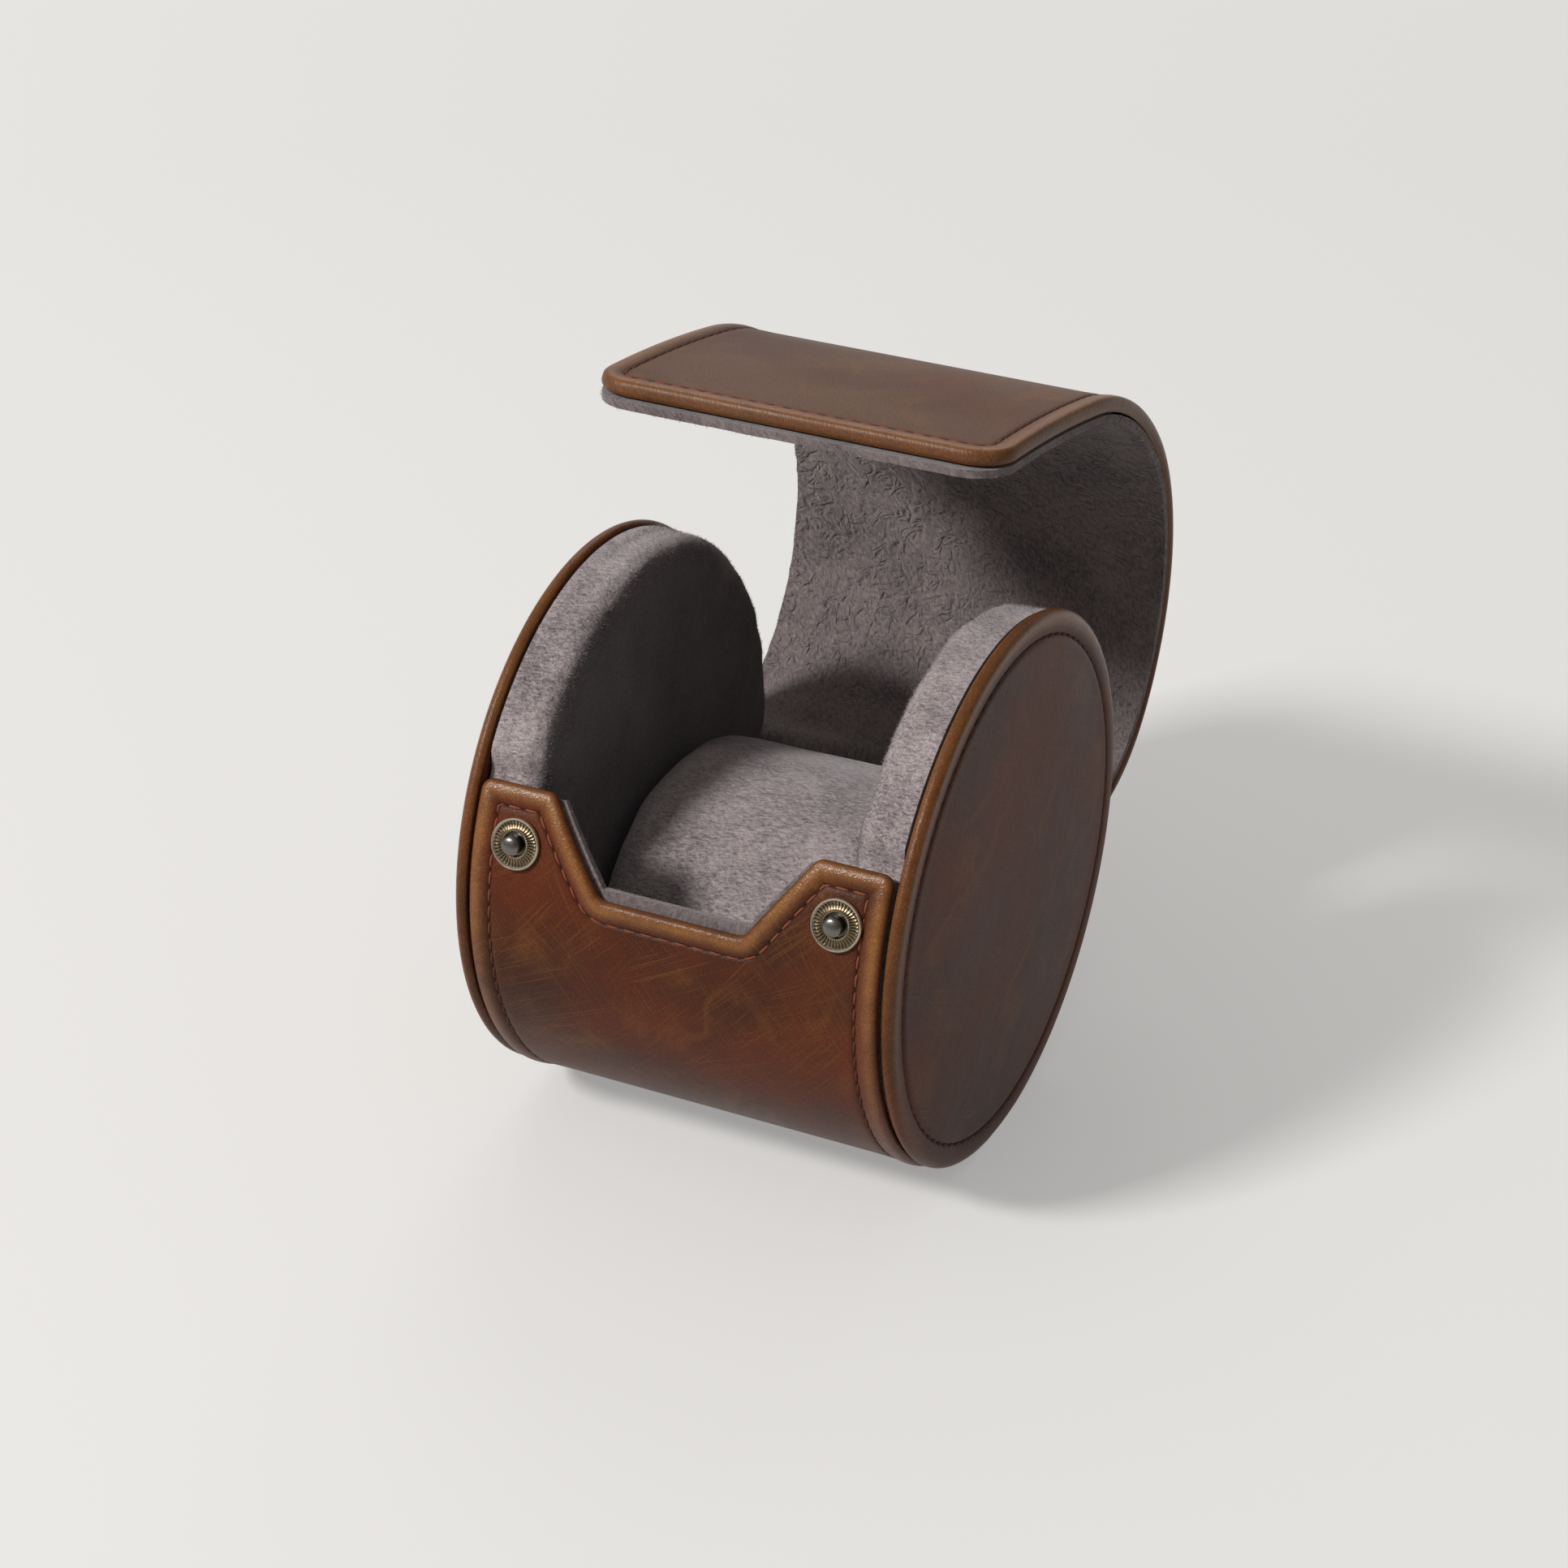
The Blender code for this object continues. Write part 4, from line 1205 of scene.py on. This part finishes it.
def pattern_space(tree, use_uv, drawn=(1, 1, 1), turn=0.0):
    """Coordinates in metres, turned and then drawn out: the flat cut's own UV map, or the object's."""
    if use_uv:
        source = add_node(tree, "UVMap", uv_map="Flat").outputs["UV"]
        metre = UV_PER_METRE
    else:
        source = add_node(tree, "TexCoord").outputs["Object"]
        metre = 1.0
    sockets = {"Vector": source, "Scale": tuple(metre * d for d in drawn), "Rotation": (0, 0, turn)}
    return add_node(tree, "Mapping", sockets, vector_type="TEXTURE").outputs["Vector"]


def noise_at(tree, space, size_mm, detail=2.0, roughness=0.5, distortion=0.0):
    """Cloudy noise whose largest forms have this size."""
    sockets = {
        "Vector": space,
        "Scale": per_metre(size_mm),
        "Detail": detail,
        "Roughness": roughness,
        "Distortion": distortion,
    }
    return add_node(tree, "TexNoise", sockets).outputs["Fac"]


def per_metre(size_mm):
    """A texture's scale for a pattern of this size."""
    return 1000.0 / size_mm


def scratched(tree):
    """Families of long fine scratches, each at its own slant, that come and go in patches."""
    families = []
    for degrees, width_mm in ((38, 0.24), (-46, 0.22), (62, 0.26), (-30, 0.24), (46, 0.20)):
        turn = math.radians(degrees)
        lines = noise_at(tree, pattern_space(tree, True, (1, 95, 1), turn), width_mm, 1.5, 0.5, 0.08)
        patches = noise_at(tree, pattern_space(tree, True, (1, 2.4, 1), turn), 9, 1.5)
        families.append(times(tree, ramped(tree, lines, 0.57, 0.70), ramped(tree, patches, 0.44, 0.62)))
    return highest(tree, families)


def leather_material(name, colours):
    """Pull-up leather: drum-dyed cowhide, waxed and hand burnished.

    It is deep red-brown in the field, flashes golden where the wax is stretched over an edge, and carries
    fine scratches that cross at a slant. Painted light lies over it: a grey painted sheen on the lid's top
    and the covers' middles, and covers' rims painted lighter towards the top.
    """
    material, tree = new_material(name)
    space = pattern_space(tree, True)

    # The dye is cloudy. The grey over it is partly the wax's dull film and partly painted sheen, greyest on
    # the lid's top.
    cloud = noise_at(tree, space, 30, 3.0, 0.55)
    base = over(tree, linear(colours.leather_dark), ramped(tree, cloud, 0.32, 0.72), colours.leather_mid)
    share = painted(tree, "bloom_and_sheen")
    bloom_and_sheen = plus(tree, ramped(tree, noise_at(tree, space, 45, 2.0), 0.30, 0.75), 0.5)
    base = over(tree, base, times(tree, bloom_and_sheen, share), colours.leather_bloom_and_sheen)

    # Scratches and soft creases pull the wax thin and show the lighter hide.
    scratches = scratched(tree)
    clean = minus(tree, 1.15, share)
    base = over(tree, base, times(tree, scratches, times(tree, clean, 0.29)), colours.leather_worn)
    crease = noise_at(tree, pattern_space(tree, True, (1, 2.4, 1), 0.15), 15, 3.0, 0.5, 0.8)
    crease = ramped(tree, minus(tree, 1.0, ridged(tree, crease)), 0.91, 1.0)
    pull = times(tree, crease, ramped(tree, noise_at(tree, space, 20), 0.46, 0.64))
    base = over(tree, base, times(tree, pull, 0.24), colours.leather_worn)

    # The red ground dye shows in patches; the rolled edges are rubbed to gold, on the covers painted lighter
    # towards the top.
    red = noise_at(tree, pattern_space(tree, True, (1, 2.2, 1), 0.5), 17, 3.0, 0.55, 0.6)
    base = over(tree, base, times(tree, ramped(tree, red, 0.50, 0.72), 0.34), colours.leather_red)
    wear_and_painted_light = painted(tree, "edge_wear_and_painted_light")
    rub = ramped(tree, noise_at(tree, space, 7, 5.0, 0.7), 0.12, 0.60)
    base = over(tree, base, times(tree, wear_and_painted_light, rub), colours.leather_worn)

    # Pebbled grain with pores; dye gathers between the pebbles and in the sewn channel.
    cells = {"Vector": space, "Scale": per_metre(0.6)}
    grain = add_node(tree, "TexVoronoi", cells, feature="DISTANCE_TO_EDGE").outputs["Distance"]
    grain = ramped(tree, grain, 0.0, 0.30)
    pores = noise_at(tree, space, 0.3, 3.0, 0.6)
    base = over(tree, base, times(tree, minus(tree, 1.0, grain), 0.30), colours.leather_seam)
    base = over(tree, base, times(tree, painted(tree, "seam"), 0.55), colours.leather_seam)
    relief = minus(tree, plus(tree, grain, pores), times(tree, scratches, 0.7))
    waves = noise_at(tree, space, 6, 3.0)
    normal = bumped(tree, waves, 0.4, 0.3, bumped(tree, relief, 0.35, 0.07))

    # Rubbed edges are smoother and shinier.
    rough = minus(tree, plus(tree, times(tree, cloud, 0.16), 0.34), times(tree, wear_and_painted_light, 0.12))
    shine = plus(tree, times(tree, wear_and_painted_light, 0.30), 0.17)
    surface(tree, base, rough, normal, {"IOR": 1.45, "Specular IOR Level": shine})
    return material


def wrinkled(tree, under):
    """Fine wrinkles of glued suede, where the piece is painted as crinkled."""
    families = []
    for degrees, size_mm in ((20, 4.0), (-55, 3.4), (75, 3.7)):
        turn = math.radians(degrees)
        lines = noise_at(tree, pattern_space(tree, True, (1, 1.9, 1), turn), size_mm, 1.2, 0.5, 1.1)
        lines = minus(tree, 1.0, ramped(tree, ridged(tree, lines), 0.0, 0.11))
        patches = ramped(tree, noise_at(tree, pattern_space(tree, True, turn=turn), 5), 0.40, 0.58)
        families.append(times(tree, lines, patches))
    ridge = times(tree, highest(tree, families), painted(tree, "crinkle"))
    return bumped(tree, ridge, 1.0, 0.55, under)


def suede_material(name, colours, dark, light, glued=False):
    """Suede: split pigskin, sanded to a short nap that shows each stroke of a hand as light and dark.

    Glued suede is the sheet's lining: its pattern lies on the flat cut, and it is wrinkled.
    """
    material, tree = new_material(name)
    space = pattern_space(tree, glued)
    along_stroke = (1, 4.5, 1) if glued else (4.5, 1, 1)
    stroke = noise_at(tree, pattern_space(tree, glued, along_stroke, 0.25), 0.36, 3.0, 0.6, 0.5)
    across_stroke = noise_at(tree, pattern_space(tree, glued, (2.4, 1, 1), -0.5), 0.55, 2.0, 0.6, 0.4)
    cloud = noise_at(tree, space, 14, 3.0)
    fibre = noise_at(tree, space, 0.22, 2.0, 0.7)
    shade = plus(tree, times(tree, stroke, 0.40), times(tree, cloud, 0.30))
    shade = plus(tree, shade, times(tree, across_stroke, 0.30))
    shade = plus(tree, shade, times(tree, fibre, 0.30))
    base = over(tree, linear(dark), ramped(tree, shade, 0.44, 0.84), light)
    # Painted shade: where the piece is painted as pressed, on the pads' inner faces, the suede is darkened as
    # shade.
    base = over(tree, base, times(tree, painted(tree, "pressed"), 0.75), colours.suede_painted_shade)
    relief = plus(tree, stroke, times(tree, fibre, 0.9))
    relief = plus(tree, relief, times(tree, across_stroke, 0.5))
    normal = bumped(tree, relief, 0.7, 0.25)
    if glued:
        normal = wrinkled(tree, normal)
    others = {"Specular IOR Level": 0.15, "Sheen Weight": 0.35, "Sheen Roughness": 0.45}
    surface(tree, base, 0.95, normal, others)
    return material


def thread_material(name, colours):
    """Waxed linen thread: twisted plies, so each stitch shows fine slanting ribs with a dull shine."""
    material, tree = new_material(name)
    ribs = noise_at(tree, pattern_space(tree, False), 0.3)
    # Painted light: stitches painted as lit take the light thread colour; the rest, and the covers', take the
    # dark one as shade.
    base = over(tree, linear(colours.thread_dark), painted(tree, "stitch_painted_light"), colours.thread)
    base = over(tree, base, times(tree, ribs, 0.5), colours.thread_dark)
    surface(tree, base, 0.75, bumped(tree, ribs, 0.5, 0.1), {"Specular IOR Level": 0.3})
    return material


def nickel_material(name, colours):
    """Antique nickel: plated brass, tumbled and darkened, bright on what rubs, brown in the recesses."""
    material, tree = new_material(name)
    space = pattern_space(tree, False)
    stain = noise_at(tree, space, 1.6, 4.0, 0.6)
    dark = times(tree, painted(tree, "recess"), plus(tree, times(tree, stain, 0.6), 0.4))
    base = over(tree, linear(colours.nickel), painted(tree, "post"), colours.steel)
    base = over(tree, base, dark, colours.nickel_dark)
    normal = bumped(tree, noise_at(tree, space, 0.15), 0.12, 0.03)
    surface(tree, base, plus(tree, times(tree, stain, 0.2), 0.2), normal, {"Metallic": 1.0})
    return material


def board_material(name, colours):
    """Fibre board: pressed cellulose, dull and speckled with long fibres."""
    material, tree = new_material(name)
    speck = noise_at(tree, pattern_space(tree, False), 1.2, 5.0, 0.7)
    base = over(tree, linear(colours.board), ramped(tree, speck, 0.35, 0.7), colours.board_speck)
    surface(tree, base, 0.9, bumped(tree, speck, 0.3, 0.1), {})
    return material


def floor_material(name, colours):
    """Matt painted board, without grain at this distance; its glow is for the camera alone."""
    material, tree = new_material(name)
    coat = add_node(tree, "BsdfDiffuse", {"Color": linear(colours.floor)})
    where = add_node(tree, "TexCoord").outputs["Object"]
    far = add_node(tree, "VectorMath", {0: where}, operation="LENGTH").outputs["Value"]
    lift = ranged(tree, far, 0.5, 4.0, 0.32, 0.64)
    glow = add_node(tree, "Emission", {"Color": (1.0, 0.99, 0.975, 1.0), "Strength": lift})
    nothing = add_node(tree, "Emission", {"Strength": 0.0})
    rays = add_node(tree, "LightPath").outputs
    seen = highest(tree, [rays[kind] for kind in ("Is Camera Ray", "Is Glossy Ray", "Is Transmission Ray")])
    shown = add_node(tree, "MixShader", {0: seen, 1: nothing.outputs[0], 2: glow.outputs[0]})
    both = add_node(tree, "AddShader", {0: coat.outputs[0], 1: shown.outputs[0]})
    add_node(tree, "OutputMaterial", {"Surface": both.outputs[0]})
    return material


MAKERS = {
    "sheet": ("Pull-up leather, waxed sheet", leather_material),
    "cover": ("Pull-up leather, waxed disc", leather_material),
    "thread": ("Waxed thread, twisted", thread_material),
    "nickel": ("Antique nickel, tumbled", nickel_material),
    "board": ("Fibre board, pressed", board_material),
    "floor": ("Matt paint, rolled", floor_material),
}


class Finishes:
    """The materials, each made when it is first asked for."""

    made = {}

    @classmethod
    def get(cls, name):
        colours = settings("colours")
        if name not in cls.made:
            if name == "pad":
                dark, light = colours.suede_dark, colours.suede_light
                made = suede_material("Suede, sanded split", colours, dark, light)
            elif name == "lining":
                # Painted shade: the lining is the pads' suede painted darker, for the shade inside the lid.
                dark, light = colours.lining_down_painted_shade, colours.lining_up_painted_shade
                made = suede_material("Suede lining, glued", colours, dark, light, glued=True)
            else:
                title, maker = MAKERS[name]
                made = maker(title, colours)
            cls.made[name] = made
        return cls.made[name]


# Operators


class WR_OT_camera(bpy.types.Operator):
    """Sets the camera to the photograph's view of the roll."""

    bl_idname = "watch_roll.camera"
    bl_label = "Camera"

    def execute(self, context):
        azimuth, elevation, distance = math.radians(25.65), math.radians(29.9), 0.6728
        level = math.cos(elevation)
        back = Vector((math.sin(azimuth) * level, -math.cos(azimuth) * level, math.sin(elevation)))
        data = bpy.data.cameras.new("Camera")
        camera = bpy.data.objects.new("Camera", data)
        context.scene.collection.objects.link(camera)
        camera.rotation_euler = back.to_track_quat("Z", "Y").to_euler()
        aside = camera.rotation_euler.to_matrix() @ Vector((-2.09 * MM, 9.63 * MM, 0.0))
        camera.location = Vector((0.0, CENTRE.x, CENTRE.y)) + back * distance + aside
        data.lens = LENS_MM
        data.sensor_width = SENSOR_MM
        context.scene.camera = camera
        return {"FINISHED"}


class WR_OT_sheet(bpy.types.Operator):
    """Makes the leather of wall and lid with its rolled edge, the lining and the stitches."""

    bl_idname = "watch_roll.sheet"
    bl_label = "Wall and lid"

    def execute(self, context):
        sizes = settings("sheet")
        sheet = Sheet()
        leather = make_sheet_leather(sheet, sizes)
        finish(leather, Finishes.get("sheet"), smooth_angle=70)
        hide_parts("wrap_leather", "lid_leather")
        lining, fibres, cut = make_lining(sheet, sizes)
        finish(lining, Finishes.get("lining"), smooth_angle=70)
        finish(fibres, Finishes.get("lining"))
        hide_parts("wrap_lining", "lid_lining")
        stitches = finish(make_sheet_stitches(sheet, sizes, settings("thread")), Finishes.get("thread"))
        for piece in (leather, lining, fibres, stitches):
            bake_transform(piece)
        return {"FINISHED"}


class WR_OT_ends(bpy.types.Operator):
    """Makes the end covers with their stitches, and the suede pads."""

    bl_idname = "watch_roll.ends"
    bl_label = "End covers and pads"

    def execute(self, context):
        ends, sizes, thread = settings("ends"), settings("sheet"), settings("thread")
        inner, outer = PAD_LOW.x, PAD_HIGH.x - 0.8 * MM
        for side, label in ((1, "right"), (-1, "left")):
            cover = finish(make_cover(side, label, ends), Finishes.get("cover"), "case")
            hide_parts(label + "_disc_cover")
            finish(make_cover_stitches(side, label, ends, thread), Finishes.get("thread"), "case")
            pad = finish(make_pad(side, label, ends, sizes), Finishes.get("pad"), "case", 80)
            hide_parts(label + "_pad_suede")

            def on_rim(middle, normal):
                return inner < side * middle.x < outer and middle.z > 0.4 * DRUM_RADIUS

            corners = nap_points(pad, count=15000, seed=7 + side, reach=0.7 * MM, keep=on_rim)
            finish(nap(label + "_pad_nap", corners), Finishes.get("pad"), "case")
        return {"FINISHED"}


class WR_OT_cushion(bpy.types.Operator):
    """Makes the suede cushion between the pads."""

    bl_idname = "watch_roll.cushion"
    bl_label = "Cushion"

    def execute(self, context):
        cushion = finish(make_cushion(), Finishes.get("pad"), "case", 80)
        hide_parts("cushion")
        return {"FINISHED"}


class WR_OT_studs(bpy.types.Operator):
    """Makes the press studs on the horns."""

    bl_idname = "watch_roll.studs"
    bl_label = "Press studs"

    def execute(self, context):
        sizes, studs = settings("sheet"), settings("studs")
        sheet = Sheet()
        for side, label in ((1, "right"), (-1, "left")):
            stud = make_stud(side, label, sheet, sizes, studs)
            finish(stud, Finishes.get("nickel"), "case", 35)
            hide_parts(label + "_snap_stud")
        return {"FINISHED"}


class WR_OT_hidden(bpy.types.Operator):
    """Gives the carried-over boards, rivets and sockets their finishes."""

    bl_idname = "watch_roll.hidden"
    bl_label = "Boards, rivets and sockets"

    def execute(self, context):
        for name, node in frame["nodes"].items():
            if "board" in name or name.endswith("core"):
                finish_name = "board"
            elif "rivet" in name or "socket" in name:
                finish_name = "nickel"
            else:
                continue
            node.data.materials.clear()
            node.data.materials.append(Finishes.get(finish_name))
        return {"FINISHED"}


class WR_OT_stage(bpy.types.Operator):
    """Sets the floor, the lamps and the world."""

    bl_idname = "watch_roll.stage"
    bl_label = "Stage"

    def execute(self, context):
        deselect()
        bpy.ops.mesh.primitive_plane_add(size=8.0, location=(0, 0, -0.05 * MM))
        floor = named("floor")
        floor.data.materials.append(Finishes.get("floor"))
        # Each lamp's place and side in metres, and its power in watts.
        lamps = (
            ("Key", (-1.28, -1.63, 1.85), 0.48, 64.0),
            ("Window", (-0.99, 2.75, 2.20), 2.4, 22.0),
        )
        aim = Vector((0.0, 0.0, 0.05))
        for name, place, size, power in lamps:
            data = bpy.data.lights.new(name, "AREA")
            data.size = size
            data.energy = power
            lamp = bpy.data.objects.new(name, data)
            context.scene.collection.objects.link(lamp)
            lamp.location = place
            lamp.rotation_euler = (Vector(place) - aim).to_track_quat("Z", "Y").to_euler()
        world = bpy.data.worlds.new("Studio")
        world.use_nodes = True
        tree = world.node_tree
        way = add_node(tree, "SeparateXYZ", {"Vector": add_node(tree, "TexCoord").outputs["Generated"]})
        side = ranged(tree, way.outputs["X"], -1.0, 1.0, 1.2, 0.5)
        sky = ranged(tree, way.outputs["Z"], 0.0, 1.0, 0.26, 0.42)
        seen = times(tree, add_node(tree, "LightPath").outputs["Is Camera Ray"], 0.78)
        background = tree.nodes["Background"].inputs
        plug(tree, background["Color"], (1.0, 0.985, 0.965, 1.0))
        plug(tree, background["Strength"], highest(tree, [times(tree, sky, side), seen]))
        context.scene.world = world
        context.scene.view_settings.view_transform = "Standard"
        return {"FINISHED"}


STEPS = (WR_OT_camera, WR_OT_sheet, WR_OT_ends, WR_OT_cushion, WR_OT_studs, WR_OT_hidden, WR_OT_stage)


class WR_PT_panel(bpy.types.Panel):
    """Lists the steps and their sizes."""

    bl_label = "Watch roll"
    bl_idname = "WR_PT_panel"
    bl_space_type = "VIEW_3D"
    bl_region_type = "UI"
    bl_category = "Watch roll"

    def draw(self, context):
        for step in STEPS:
            self.layout.operator(step.bl_idname)
        for name, group in SETTINGS:
            box = self.layout.box()
            box.label(text=name.capitalize())
            for prop in group.__annotations__:
                box.prop(getattr(context.scene, "watch_roll_" + name), prop)


def register():
    for name, group in SETTINGS:
        bpy.utils.register_class(group)
        setattr(bpy.types.Scene, "watch_roll_" + name, bpy.props.PointerProperty(type=group))
    for step in STEPS:
        bpy.utils.register_class(step)
    bpy.utils.register_class(WR_PT_panel)


def unregister():
    bpy.utils.unregister_class(WR_PT_panel)
    for step in reversed(STEPS):
        bpy.utils.unregister_class(step)
    for name, group in reversed(SETTINGS):
        delattr(bpy.types.Scene, "watch_roll_" + name)
        bpy.utils.unregister_class(group)


def main():
    register()
    for step in STEPS:
        group, name = step.bl_idname.split(".")
        getattr(getattr(bpy.ops, group), name)()


if __name__ == "__main__":
    main()
